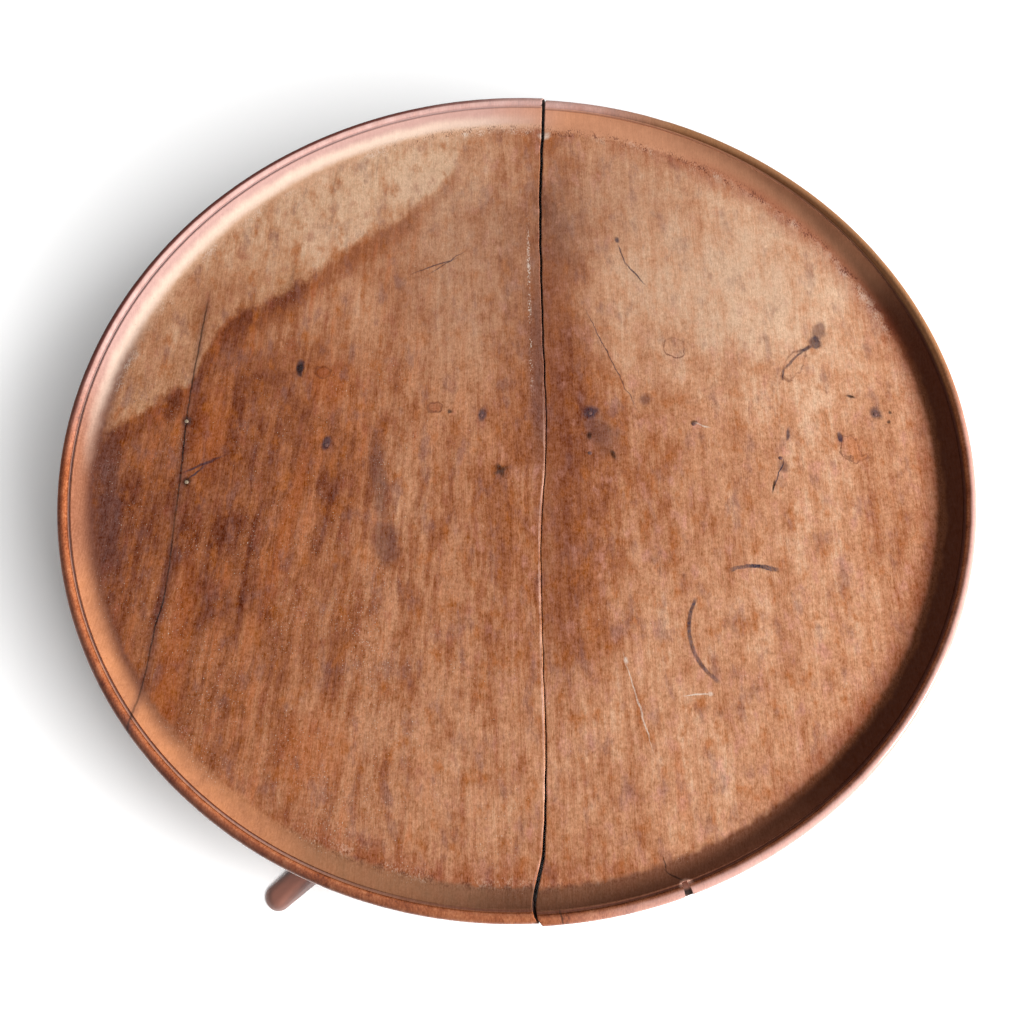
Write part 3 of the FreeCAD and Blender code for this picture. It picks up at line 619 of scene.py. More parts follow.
def prism(name, outline, low, high, ease=0.0, angle=0.0):
    """An outline in plan, made solid between two heights and eased along its edges."""
    count = len(outline)
    points = [(x, y, z) for z in (low, high) for x, y in outline]
    walls = [(i, (i + 1) % count, (i + 1) % count + count, i + count) for i in range(count)]
    faces = [tuple(range(count)), tuple(range(count, 2 * count)), *walls]
    mesh = closed_mesh(name, points, faces)
    if ease:
        ease_edges(mesh, ease)
    mesh.transform(Matrix.Rotation(angle, 4, "Z"))
    return mesh


def ease_edges(mesh, ease):
    """Rounds the sharp edges of a mesh."""
    form = bmesh.new()
    form.from_mesh(mesh)
    sharp = [edge for edge in form.edges if edge.calc_face_angle(0.0) > SMOOTH_ANGLE]
    bmesh.ops.bevel(form, geom=sharp, offset=ease, segments=3, profile=0.5, affect="EDGES")
    form.to_mesh(mesh)
    form.free()
    soften(mesh)


def place_piece(mesh, *materials):
    """Puts a mesh into the scene as an object of the same name."""
    piece = bpy.data.objects.new(mesh.name, mesh)
    if materials and mesh.materials:
        mesh.materials.clear()
    for material in materials:
        mesh.materials.append(material)
    bpy.context.scene.collection.objects.link(piece)
    return piece


def seat(piece, slot, *nodes):
    """Makes a finished piece ride with the table in place of its frame nodes."""
    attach(piece, BODY)
    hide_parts(*nodes)


def plain_copy(piece, name):
    """The evaluated mesh of an object."""
    graph = bpy.context.evaluated_depsgraph_get()
    mesh = bpy.data.meshes.new_from_object(piece.evaluated_get(graph))
    mesh.name = name
    return mesh


def carve(piece, tool_mesh, operation="DIFFERENCE"):
    """Cuts a tool out of a piece, or joins it on, and tidies the shading."""
    tool = place_piece(tool_mesh)
    modifier = piece.modifiers.new("Carve", "BOOLEAN")
    modifier.object = tool
    modifier.operation = operation
    modifier.solver = "MANIFOLD"
    mesh = plain_copy(piece, f"{piece.data.name}_carved")
    piece.modifiers.remove(modifier)
    if mesh.materials and mesh.materials[-1] is None:
        mesh.materials.pop()
    piece.data = soften(mesh)
    bpy.data.objects.remove(tool)


def smooth_through(places):
    """A smooth function through given pairs, level beyond its ends."""
    knots, values = np.array(sorted(places), float).T
    slopes = np.gradient(values, knots)

    def at(place):
        place = np.clip(place, knots[0], knots[-1])
        span = np.clip(np.searchsorted(knots, place) - 1, 0, len(knots) - 2)
        width = knots[span + 1] - knots[span]
        t = (place - knots[span]) / width
        rise = values[span + 1] - values[span]
        start = slopes[span] * width - rise
        end = rise - slopes[span + 1] * width
        return values[span] + t * rise + t * (1 - t) * (start * (1 - t) + end * t)

    return at


def arc(middle, radius, start, end, count):
    """Points of an arc between two angles in degrees."""
    angles = np.radians(np.linspace(start, end, count))
    return np.column_stack((middle[0] + radius * np.cos(angles), middle[1] + radius * np.sin(angles)))


def bowed(start, end, radius, count):
    """Points of an arc between two places whose middle lies to the right of the way."""
    start, end = np.array(start), np.array(end)
    way = end - start
    across = np.array((way[1], -way[0])) / np.hypot(*way)
    middle = (start + end) / 2 + across * math.sqrt(radius**2 - np.dot(way, way) / 4)
    angles = [math.degrees(math.atan2(*(place - middle)[::-1])) for place in (start, end)]
    return arc(middle, radius, *angles, count)


def rounding(distance, radius):
    """How far a rounded edge falls at a distance in from it."""
    inside = np.clip(radius - distance, 0.0, radius)
    return radius - np.sqrt(radius**2 - inside**2)


def lumps(points, size, seed):
    """Noise from -1 to 1 at each point."""
    shift = Vector((seed, 0.0, 0.0))
    return np.array([noise.noise(Vector(point) / size + shift) for point in points])


# Top boards

def rim_profile(top):
    """Half section of the rim, from the dish floor over the bead to the underside."""
    floor = TOP_HEIGHT - top.dish_depth
    bead_height = TOP_HEIGHT - top.bead_radius
    bead_inner = TOP_RADIUS - 2 * top.bead_radius
    cove_outer = bead_inner - top.quirk_width
    cove_inner = cove_outer - top.cove_width
    cove_radius = (top.cove_width**2 + top.cove_drop**2) / (2 * top.cove_drop)
    cove_turn = math.degrees(math.asin(top.cove_width / cove_radius))
    quirk_floor = floor + top.cove_drop - top.quirk_depth
    ease = top.quirk_ease
    stem = TOP_RADIUS - top.bead_radius
    foot = TOP_HEIGHT - 2 * top.bead_radius - top.edge_fillet
    cove = arc((cove_inner, floor + cove_radius), cove_radius, -90, -90 + cove_turn, 12)
    quirk = (
        (cove_outer + ease / 2, floor + top.cove_drop - ease / 4),
        (cove_outer + ease, floor + top.cove_drop - ease),
        (cove_outer + ease, quirk_floor + ease),
        (cove_outer + 2 * ease, quirk_floor),
        (bead_inner - 2 * ease, quirk_floor),
        (bead_inner - ease / 2, quirk_floor + ease),
    )
    bead = arc((stem, bead_height), top.bead_radius, 180, -80, 22)
    fillet = ((stem + ease / 2, foot + ease), (stem - ease / 2, foot))
    under = bowed((stem - ease, foot), (TOP_RADIUS - top.under_width, CLEAT_HIGH.z), top.under_round, 10)
    return np.vstack((cove, quirk, bead, fillet, under))


def split_edge(side):
    """Where one board ends at the split: across for a place along, ragged as broken wood."""
    middle = smooth_through([(along * MM, across * MM) for along, across in SPLIT_COURSE])
    gap = smooth_through([
        (along * MM, (GAP_FACTOR * half - GAP_CLOSING) * MM) for _, along, half in SPLIT_LINE])
    along = np.linspace(-TOP_RADIUS, TOP_RADIUS, 800)
    line = [(0.0, y, 0.0) for y in along]
    waves = WAVE_DEPTH * lumps(line, WAVE_LENGTH, 3.0)
    ragged = waves + SPLINTER_DEPTH * lumps(line, SPLINTER_LENGTH, 5.0 + side)
    return lambda y, lean=0.0: middle(y) + side * gap(y) + np.interp(y, along, ragged) + lean


def crossing(edge, radius, lean, end):
    """Angle at which a circle meets the split, at its near end (-1) or its far end (1)."""
    along = end * radius
    for _ in range(12):
        along = end * math.sqrt(radius**2 - float(edge(along, lean)) ** 2)
    return math.atan2(along, float(edge(along, lean)))


def rim_rings(edge, side, top):
    """Rings of points along the rim's section, from one end of the split round to the other."""
    profile = rim_profile(top)
    way = np.gradient(profile, axis=0)
    outward = np.column_stack((-way[:, 1], way[:, 0])) / np.hypot(*way.T)[:, None]
    inset = np.concatenate((EDGE_STEPS, np.full(RIM_COLUMNS, EDGE_STEPS[-1]), EDGE_STEPS[::-1]))
    worn = rounding(inset, top.split_wear)
    crest = int(np.argmax(profile[:, 1]))
    depth = np.clip((TOP_HEIGHT - profile[:, 1]) / (3 * top.bead_radius), 0, 1) ** 0.5
    leans = np.where(np.arange(len(profile)) > crest, depth * top.split_slant, 0.0)
    rings = []
    for (radius, height), facing, lean in zip(profile, outward, leans):
        near, far = (crossing(edge, radius, lean, end) for end in (-1, 1))
        if side < 0:
            far -= 2 * math.pi
        steps = side * EDGE_STEPS / radius
        inner = np.linspace(near + steps[-1], far - steps[-1], RIM_COLUMNS + 2)[1:-1]
        angles = np.concatenate((near + steps, inner, far - steps[::-1]))
        radii = radius - worn * facing[0]
        rings.append(np.column_stack((
            radii * np.cos(angles), radii * np.sin(angles), height - worn * facing[1])))
    return dented(np.array(rings), profile, outward, top)


def dented(rings, profile, outward, top):
    """Presses small dents into the bead and the edge of the cove."""
    exposed = np.clip((profile[:, 0] - (TOP_RADIUS - 4 * top.bead_radius)) / (3 * top.bead_radius), 0, 1)
    for ring, facing, share in zip(rings, outward, exposed):
        knocks = 0.6 * lumps(ring, 14 * MM, 5.0) + 0.5 * lumps(ring, 4 * MM, 8.0) - 0.15
        depth = share * top.dent_depth * np.clip(knocks, 0, 1)
        flat = ring[:, :2] / np.linalg.norm(ring[:, :2], axis=1)[:, None]
        ring[:, :2] -= flat * (depth * facing[0])[:, None]
        ring[:, 2] -= depth * facing[1]
    return rings


def floor_fan(ring, edge, side, wear, up, lean):
    """Rows of points from the middle of the split out to a ring of the rim, floor or underside."""
    band = len(EDGE_STEPS)
    inner = ring[band - 1:len(ring) - band + 1]
    height = inner[len(inner) // 2, 2]
    share = np.linspace(0, 1, len(inner))[:, None]
    chord = (1 - share) * inner[0] + share * inner[-1]
    fall = up * rounding(EDGE_STEPS, wear)
    rows = []
    for reach in np.linspace(0, 1, FLOOR_ROWS, endpoint=False):
        near_y, far_y = ring[0, 1] * reach, ring[-1, 1] * reach
        near = np.column_stack((
            edge(near_y, lean) + side * EDGE_STEPS, np.full(band, near_y), height - fall))
        far = np.column_stack((
            edge(far_y, lean) + side * EDGE_STEPS, np.full(band, far_y), height - fall))
        middle = (1 - share) * near[-1] + share * far[-1] + reach * (inner - chord)
        middle[:, 2] = height
        rows.append(np.vstack((near, middle[1:-1], far[::-1])))
    return np.array(rows)


def board_mesh(name, side, top):
    """One half of the top as a closed mesh: dish floor, moulded rim, underside and broken edge."""
    edge = split_edge(side)
    rings = rim_rings(edge, side, top)
    floor = floor_fan(rings[0], edge, side, top.split_wear, 1, 0.0)
    under = floor_fan(rings[-1], edge, side, top.split_wear, -1, top.split_slant)[::-1]
    grid = np.concatenate((floor, rings, under))
    rows, columns = grid.shape[:2]
    index = np.arange(rows * columns).reshape(rows, columns)
    quads = np.stack((index[:-1, :-1], index[:-1, 1:], index[1:, 1:], index[1:, :-1]), axis=-1)
    slots = np.full(quads.shape[:2], TOP_FACE)
    slots[FLOOR_ROWS + len(rings) - 1:] = UNDER_FACE
    faces = quads.reshape(-1, 4).tolist()
    slots = slots.reshape(-1).tolist()
    for column in (index[:, 0], index[:, -1]):
        upper, lower = column[:FLOOR_ROWS + 1], column[::-1][:FLOOR_ROWS + 1]
        faces += np.stack((upper[:-1], upper[1:], lower[1:], lower[:-1]), axis=-1).tolist()
        faces.append(column[FLOOR_ROWS:FLOOR_ROWS + len(rings)].tolist())
        slots += [SPLIT_FACE] * (FLOOR_ROWS + 1)
    return closed_mesh(name, grid.reshape(-1, 3).tolist(), faces, slots)


def patch_outline(top, play, overrun):
    """Plan of the patch let into the bead beside the near end of the split."""
    start = (SPLIT_LINE[0][0] - SPLIT_LINE[0][2]) * MM - overrun
    inner_end = (SPLIT_LINE[0][0] + SPLIT_LINE[0][2]) * MM + top.patch_length - play
    inner = -(TOP_RADIUS - 2 * top.bead_radius - top.quirk_width) - play
    outer = -TOP_RADIUS - OVERRUN
    return [(start, outer), (inner_end + top.patch_skew, outer), (inner_end, inner), (start, inner)]


def notch_outline(top):
    """Plan of the broken notch, before its turn."""
    inner = TOP_RADIUS - 2 * top.bead_radius - top.quirk_width
    outer = TOP_RADIUS + OVERRUN
    half = top.notch_width / 2
    return [(inner, -half * 0.7), (outer, -half - top.notch_flare), (outer, half), (inner, half * 0.6)]


class WINETABLE_OT_top_boards(bpy.types.Operator):
    """Builds both halves of the dished top and the patch in the bead"""
    bl_idname = "wine_table.top_boards"
    bl_label = "Top boards"

    def execute(self, context):
        top = context.scene.wine_top
        colours = context.scene.wine_colours
        polish = top_finish(colours, top.split_slip)
        finishes = (polish, bare_finish("Bare underside", colours), split_finish(colours))
        left = place_piece(board_mesh("left_board", -1, top), *finishes)
        right = place_piece(board_mesh("right_board", 1, top), *finishes)
        patch = place_piece(right.data.copy())
        patch.name = "bead_patch"
        low, high = TOP_HEIGHT - top.patch_depth, TOP_HEIGHT + top.patch_depth
        carve(patch, prism("patch_tool", patch_outline(top, PATCH_PLAY, 0.0), low, high), "INTERSECT")
        carve(right, prism("seat_tool", patch_outline(top, 0.0, OVERRUN), low, high))
        notch_low = TOP_HEIGHT - top.notch_depth
        carve(right, prism("notch_tool", notch_outline(top), notch_low, high, angle=top.notch_turn))
        for piece in (right, patch):
            piece.data.transform(Matrix.Translation((0.0, -top.split_slip, 0.0)))
        seat(left, "top_mahogany", "top_board_left")
        seat(right, "top_mahogany", "top_board_right")
        seat(patch, "patch_mahogany", "rim_patch")
        return {"FINISHED"}


class WINETABLE_OT_cleat(bpy.types.Operator):
    """Builds the cleat across the underside, with its sunk screw holes"""
    bl_idname = "wine_table.cleat"
    bl_label = "Cross cleat"

    def execute(self, context):
        top = context.scene.wine_top
        iron = context.scene.wine_iron
        half = CLEAT_HIGH.x
        bevel = top.cleat_bevel
        side = [(-half, CLEAT_HIGH.z), (half, CLEAT_HIGH.z), (half, CLEAT_LOW.z + bevel),
                (half - bevel, CLEAT_LOW.z), (bevel - half, CLEAT_LOW.z), (-half, CLEAT_LOW.z + bevel)]
        mesh = prism("cleat_board", side, -CLEAT_HIGH.y, CLEAT_HIGH.y, top.cleat_ease)
        mesh.transform(Matrix.Rotation(math.pi / 2, 4, "X"))
        store_grain(mesh, Matrix.Identity(3))
        cleat = place_piece(mesh, bare_finish("Bare cleat", context.scene.wine_colours, "grain"))
        hole = arc((0, 0), iron.screw_head * 1.06, 0, 345, 24)
        for x, y in CLEAT_SCREWS:
            ring = [(px + x * MM, py + y * MM) for px, py in hole]
            carve(cleat, prism("hole_tool", ring, CLEAT_LOW.z - MM, CLEAT_LOW.z + 2 * iron.screw_sink))
        cleat.name = "cleat"
        seat(cleat, "bare_mahogany", "cross_cleat")
        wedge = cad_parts["tenon_wedge"]
        wedge.material_slots[0].material = bare_finish("Bare wedge", context.scene.wine_colours)
        return {"FINISHED"}


# Nails and screws

def new_tree(name, inputs):
    """A geometry tree with named inputs, given as name and socket type."""
    tree = bpy.data.node_groups.new(name, "GeometryNodeTree")
    for title, kind in (("Geometry", "NodeSocketGeometry"), *inputs):
        tree.interface.new_socket(title, in_out="INPUT", socket_type=kind)
    tree.interface.new_socket("Geometry", in_out="OUTPUT", socket_type="NodeSocketGeometry")
    sheet = Sheet(tree)
    entry = tree.nodes.new("NodeGroupInput")
    given = {socket.name: Field(sheet, socket) for socket in entry.outputs if socket.name}
    return sheet, given


def close_tree(sheet, geometry, material):
    """Ends a tree: real geometry, its material, and the way out."""
    real = sheet.node("GeometryNodeRealizeInstances", None, {"Geometry": geometry})
    painted = sheet.node("GeometryNodeSetMaterial", None, {"Geometry": real, "Material": material})
    way_out = sheet.tree.nodes.new("NodeGroupOutput")
    sheet.feed(way_out.inputs["Geometry"], painted)
    return sheet.tree


def grown(name, tree, source, values):
    """Runs a tree on a source mesh and returns the plain mesh."""
    holder = place_piece(source)
    modifier = holder.modifiers.new(tree.name, "NODES")
    modifier.node_group = tree
    for item in tree.interface.items_tree:
        if item.in_out == "INPUT" and item.name in values:
            modifier[item.identifier] = values[item.name]
    mesh = plain_copy(holder, name)
    holder.modifiers.remove(modifier)
    bpy.data.objects.remove(holder)
    form = bmesh.new()
    form.from_mesh(mesh)
    bmesh.ops.recalc_face_normals(form, faces=form.faces)
    form.to_mesh(mesh)
    form.free()
    mesh.materials.clear()
    mesh.materials.append(values["Material"])
    return soften(mesh)


def fastener_tree(name, slotted):
    """A crowned head on a shank, set on every point and turned at random."""
    sheet, given = new_tree(name, (
        ("Head radius", "NodeSocketFloat"), ("Crown", "NodeSocketFloat"), ("Shank radius", "NodeSocketFloat"),
        ("Length", "NodeSocketFloat"), ("Slot width", "NodeSocketFloat"), ("Tilt", "NodeSocketFloat"),
        ("Seed", "NodeSocketInt"), ("Material", "NodeSocketMaterial")))
    radius, crown, deep = given["Head radius"], given["Crown"], given["Length"]
    ball = sheet.node("GeometryNodeMeshUVSphere", None, {"Segments": 20, "Rings": 12, "Radius": 1.0})
    head = sheet.node("GeometryNodeTransform", None, {
        "Geometry": ball, "Scale": sheet.combine(radius, radius, crown)})
    if slotted:
        bar = sheet.node("GeometryNodeMeshCube", None, {
            "Size": sheet.combine(radius * 2.4, given["Slot width"], crown * 1.2)})
        raised = sheet.node("GeometryNodeTransform", None, {
            "Geometry": bar, "Translation": sheet.combine(0.0, 0.0, crown)})
        head = sheet.node("GeometryNodeMeshBoolean", {"operation": "DIFFERENCE"}, {
            "Mesh 1": head, "Mesh 2": raised})
    rod = sheet.node("GeometryNodeMeshCylinder", None, {
        "Vertices": 12, "Radius": given["Shank radius"], "Depth": deep})
    shank = sheet.node("GeometryNodeTransform", None, {
        "Geometry": rod, "Translation": sheet.combine(0.0, 0.0, deep * -0.5)})
    join = sheet.tree.nodes.new("GeometryNodeJoinGeometry")
    for part in (head, shank):
        sheet.tree.links.new(part.socket, join.inputs[0])
    spin = sheet.node("FunctionNodeRandomValue", {"data_type": "FLOAT"}, {
        "Max": 2 * math.pi, "Seed": given["Seed"]}, 1)
    turned = sheet.node("FunctionNodeEulerToRotation", None, {0: sheet.combine(given["Tilt"], 0.0, spin)})
    placed = sheet.node("GeometryNodeInstanceOnPoints", None, {
        "Points": given["Geometry"], "Instance": Field(sheet, join.outputs[0]), "Rotation": turned})
    return close_tree(sheet, placed, given["Material"])


def points_mesh(name, places):
    """A mesh of bare points."""
    mesh = bpy.data.meshes.new(name)
    mesh.from_pydata(places, [], [])
    return mesh


class WINETABLE_OT_fasteners(bpy.types.Operator):
    """Drives the nails, the cleat's screws and the strap's screws"""
    bl_idname = "wine_table.fasteners"
    bl_label = "Nails and screws"

    def execute(self, context):
        iron = context.scene.wine_iron
        colours = context.scene.wine_colours
        floor = TOP_HEIGHT - context.scene.wine_top.dish_depth
        nail_places = [(x * MM, y * MM, floor) for x, y in LEFT_NAILS + RIGHT_NAILS]
        nail_points = points_mesh("nail_points", nail_places)
        nails = grown("nails", fastener_tree("Driven nails", False), nail_points, {
            "Head radius": iron.nail_head, "Crown": iron.nail_proud, "Shank radius": iron.nail_shank,
            "Length": iron.nail_length, "Seed": 4, "Material": nail_finish(colours)})
        seat(place_piece(nails), "nail_iron", "cleat_nails")
        screw_iron = iron_finish("Screw iron", colours, SCREW_RUST)
        sunk = CLEAT_LOW.z + iron.screw_sink
        slotted = fastener_tree("Slotted screws", True)
        screw_points = points_mesh("screw_points", [(x * MM, y * MM, sunk) for x, y in CLEAT_SCREWS])
        screws = grown("bearer_screws", slotted, screw_points, {
            "Head radius": iron.screw_head, "Crown": iron.screw_crown, "Shank radius": iron.screw_shank,
            "Length": iron.screw_length, "Slot width": iron.slot_width, "Tilt": math.pi, "Seed": 7,
            "Material": screw_iron})
        seat(place_piece(screws), "screw_iron", "cleat_screws")
        strap_places = [(0.0, 0.0, STRAP_LOW.z)]
        for degrees in LEG_TURNS.values():
            angle = math.radians(degrees)
            strap_places.append((
                iron.strap_screws * math.cos(angle), iron.strap_screws * math.sin(angle), STRAP_LOW.z))
        strap = grown("strap_screws", slotted, points_mesh("strap_points", strap_places), {
            "Head radius": iron.strap_head, "Crown": iron.strap_crown, "Shank radius": iron.strap_shank,
            "Length": iron.strap_length, "Slot width": iron.slot_width, "Tilt": math.pi, "Seed": 11,
            "Material": screw_iron})
        seat(place_piece(strap), "screw_iron", "brace_screws")
        return {"FINISHED"}


# Base

def store_grain(mesh, turned, wear=None):
    """Keeps the wood's own directions, along the grain first, and the rubbed places on the mesh."""
    points = np.empty(len(mesh.vertices) * 3)
    mesh.vertices.foreach_get("co", points)
    along = points.reshape(-1, 3) @ np.array(turned).T
    mesh.attributes.new("grain", "FLOAT_VECTOR", "POINT").data.foreach_set("vector", along.ravel())
    if wear is not None:
        mesh.attributes.new("wear", "FLOAT", "POINT").data.foreach_set("value", wear(points.reshape(-1, 3)))


def turned_ring(radius, low, height, fillet, ease):
    """A half-round ring between two flats."""
    half = height / 2
    bulge = arc((radius, low + fillet + half), half, -84, 84, 12)
    return [(radius - ease, low), (radius, low + ease), (radius, low + fillet - ease), *bulge,
            (radius, low + fillet + height + ease), (radius, low + height + 2 * fillet - ease),
            (radius - ease, low + height + 2 * fillet)]


def pillar_profile(pillar):
    """Half section of the pillar, from the middle of its foot to the top of its tenon."""
    low, high = COLUMN_LOW.z, CLEAT_LOW.z
    base_top = low + pillar.base_height
    turned = high - base_top
    ease = pillar.corner_ease
    fillet = pillar.fillet_height
    vase_end = base_top + VASE_END_SHARE * turned
    shaft_end = base_top + SHAFT_END_SHARE * turned
    vase_start = base_top + pillar.foot_ring_height + 2 * fillet
    shaft_start = vase_end + pillar.waist_ring_height + 2 * fillet
    vase = smooth_through([
        (vase_start, pillar.vase_foot_radius),
        *((base_top + z * turned, r * pillar.vase_radius) for z, r in VASE_SHARES),
        (vase_end, pillar.neck_radius)])
    shaft = smooth_through([
        (shaft_start, pillar.neck_radius),
        *((base_top + z * turned, r * pillar.shaft_radius) for z, r in SHAFT_SHARES),
        (shaft_end, pillar.shaft_top_radius)])
    vase_z = np.linspace(vase_start, vase_end, 40)
    shaft_z = np.linspace(shaft_start, shaft_end, 24)
    collar_start = shaft_end + pillar.neck_ring_height + 2 * fillet
    hollow = bowed(
        (pillar.neck_ring_radius, collar_start), (pillar.collar_radius, high - pillar.collar_edge),
        pillar.collar_hollow, 10)
    return [
        (0.0, low), (pillar.base_radius - ease, low), (pillar.base_radius, low + ease),
        (pillar.base_radius, base_top - ease), (pillar.base_radius - ease, base_top),
        *turned_ring(pillar.foot_ring_radius, base_top, pillar.foot_ring_height, fillet, ease),
        *zip(vase(vase_z), vase_z),
        *turned_ring(pillar.waist_ring_radius, vase_end, pillar.waist_ring_height, fillet, ease),
        *zip(shaft(shaft_z), shaft_z),
        *turned_ring(pillar.neck_ring_radius, shaft_end, pillar.neck_ring_height, fillet, ease),
        *hollow,
        (pillar.collar_radius, high - pillar.collar_edge + ease), (pillar.collar_radius, high - ease),
        (pillar.collar_radius - ease, high), (pillar.tenon_radius, high),
        (pillar.tenon_radius, COLUMN_HIGH.z), (0.0, COLUMN_HIGH.z)]


def lathe_tree():
    """Turns a profile, given as points of radius and height, about the upright axis."""
    sheet, given = new_tree("Turned on the lathe", (
        ("Profile points", "NodeSocketInt"), ("Segments", "NodeSocketInt"),
        ("Material", "NodeSocketMaterial")))
    count, segments = given["Profile points"], given["Segments"]
    grid = sheet.node("GeometryNodeMeshGrid", None, {"Vertices X": segments + 1, "Vertices Y": count})
    index = sheet.node("GeometryNodeInputIndex")
    column = sheet.math("FLOOR", (index + 0.5) / count)
    row = index - column * count
    position = sheet.node("GeometryNodeInputPosition")
    place = sheet.node("GeometryNodeSampleIndex", {"data_type": "FLOAT_VECTOR", "domain": "POINT"}, {
        "Geometry": given["Geometry"], "Value": position, "Index": row})
    radius, _, height = sheet.split(place)
    angle = column * (2 * math.pi) / segments
    spun = sheet.combine(radius * sheet.math("COSINE", angle), radius * sheet.math("SINE", angle), height)
    turned = sheet.node("GeometryNodeSetPosition", None, {"Geometry": grid, "Position": spun})
    welded = sheet.node("GeometryNodeMergeByDistance", None, {"Geometry": turned, "Distance": 1e-6})
    return close_tree(sheet, welded, given["Material"])


def tail_outline(leg, outer, play):
    """Plan of the dovetail, its wide end towards the axis."""
    neck, tail = leg.tail_neck / 2 + play, leg.tail_end / 2 + play
    inner = leg.flat_distance - leg.tail_depth - play
    flat = leg.flat_distance
    return [(inner, -tail), (flat, -neck), (outer, -neck), (outer, neck), (flat, neck), (inner, tail)]


class WINETABLE_OT_pillar(bpy.types.Operator):
    """Turns the pillar and cuts the seats of the legs into its foot"""
    bl_idname = "wine_table.pillar"
    bl_label = "Pillar"

    def execute(self, context):
        pillar = context.scene.wine_pillar
        leg = context.scene.wine_leg
        finish = base_finish("Base mahogany, pillar", context.scene.wine_colours)
        profile = pillar_profile(pillar)
        mesh = grown("pillar", lathe_tree(), points_mesh("profile", [(r, 0.0, z) for r, z in profile]), {
            "Profile points": len(profile), "Segments": pillar.segments, "Material": finish})
        column = place_piece(mesh)
        column.name = "pillar"
        outer = pillar.base_radius + OVERRUN
        low = COLUMN_LOW.z - OVERRUN
        flat = [(leg.flat_distance, -outer), (outer, -outer), (outer, outer), (leg.flat_distance, outer)]
        for degrees in LEG_TURNS.values():
            angle = math.radians(degrees)
            carve(column, prism("flat_tool", flat, low, COLUMN_LOW.z + leg.rise, angle=angle))
            socket = tail_outline(leg, outer, leg.clearance)
            carve(column, prism("socket_tool", socket, low, COLUMN_LOW.z + leg.tail_height, angle=angle))
        upright = ((0.0, 0.0, 1.0), (1.0, 0.0, 0.0), (0.0, 1.0, 0.0))
        store_grain(column.data, upright, self.rubbed)
        seat(column, "base_mahogany", "column")
        return {"FINISHED"}

    @staticmethod
    def rubbed(points):
        """Wear on the widest turnings."""
        radii = np.hypot(points[:, 0], points[:, 1])
        crest = np.interp(radii, (24 * MM, 30 * MM, 36 * MM), (0.0, 0.25, 0.6))
        ring = np.exp(-((points[:, 2] - WAIST_HEIGHT) / (4 * MM)) ** 2) * (radii > 21 * MM)
        return np.clip(crest + ring, 0, 1)


def leg_mesh(name, leg, degrees):
    """One swept leg: rounded above and at the toe, eased below, with its dovetail."""
    half = leg.width / 2
    run = leg.reach - leg.flat_distance
    fall = COLUMN_LOW.z + leg.rise - leg.toe_height
    toe = leg.reach - half
    crest = smooth_through([
        (leg.flat_distance, leg.toe_height + fall),
        *((leg.flat_distance + x * run, leg.toe_height + z * fall) for x, z in LEG_TOP_SHARES),
        (leg.reach, leg.toe_height)])
    belly = smooth_through([
        (leg.flat_distance + leg.strap_seat, COLUMN_LOW.z),
        *((leg.flat_distance + x * run, z * COLUMN_LOW.z) for x, z in LEG_BOTTOM_SHARES),
        (leg.reach - leg.pad_length, 0.0)])
    tip = toe + half * np.sin(np.radians(np.linspace(6, 90, 14)))
    stations = np.concatenate((np.linspace(leg.flat_distance, toe, 90), tip))
    across = np.sin(np.radians(np.linspace(-90, 90, 19)))
    loops = []
    for x in stations:
        beyond = max(x - toe, 0.0)
        y = math.sqrt(max(half**2 - beyond**2, 0.0)) * across
        inset = half - np.hypot(beyond, y)
        slope = float(crest(x + MM) - crest(x - MM)) / (2 * MM)
        upper = crest(x) - rounding(inset, leg.upper_round) * math.hypot(1, slope)
        lower = belly(x) + rounding(inset, leg.lower_ease)
        lower = np.minimum(lower, upper - 2 * MM)
        over = np.column_stack((np.full(len(y), x), y, upper))
        below = np.column_stack((np.full(len(y), x), y, lower))[::-1]
        loops.append(np.vstack((over, below)))
    grid = np.array(loops)
    rows, columns = grid.shape[:2]
    index = np.arange(rows * columns).reshape(rows, columns)
    around = np.roll(index, -1, axis=1)
    quads = np.stack((index[:-1], around[:-1], around[1:], index[1:]), axis=-1).reshape(-1, 4).tolist()
    mesh = closed_mesh(name, grid.reshape(-1, 3).tolist(), [*quads, index[0].tolist(), index[-1].tolist()])
    piece = place_piece(mesh)
    tail = tail_outline(leg, leg.flat_distance + TAIL_ROOT, 0.0)
    carve(piece, prism("tail", tail, COLUMN_LOW.z + TAIL_LIFT, COLUMN_LOW.z + leg.tail_height), "UNION")
    mesh = piece.data
    bpy.data.objects.remove(piece)
    lean = math.atan2(fall, run)
    along = Matrix.Rotation(-lean, 3, "Y")

    def rubbed(points):
        """Wear on the ridge and towards the toe."""
        towards_toe = np.interp(points[:, 0], TOE_WEAR, (0.0, 0.35, 0.8))
        ridge = np.clip((points[:, 2] - crest(points[:, 0])) / (3 * MM) + 1, 0, 1)
        return np.clip(towards_toe + 0.35 * ridge, 0, 1)

    store_grain(mesh, along, rubbed)
    mesh.transform(Matrix.Rotation(math.radians(degrees), 4, "Z"))
    mesh.name = name
    return mesh


class WINETABLE_OT_legs(bpy.types.Operator):
    """Shapes the three swept legs"""
    bl_idname = "wine_table.legs"
    bl_label = "Legs"

    def execute(self, context):
        finish = base_finish("Base mahogany, legs", context.scene.wine_colours)
        for node, degrees in LEG_TURNS.items():
            mesh = leg_mesh(f"{node}_shaped", context.scene.wine_leg, degrees)
            seat(place_piece(mesh, finish), "base_mahogany", node)
        return {"FINISHED"}


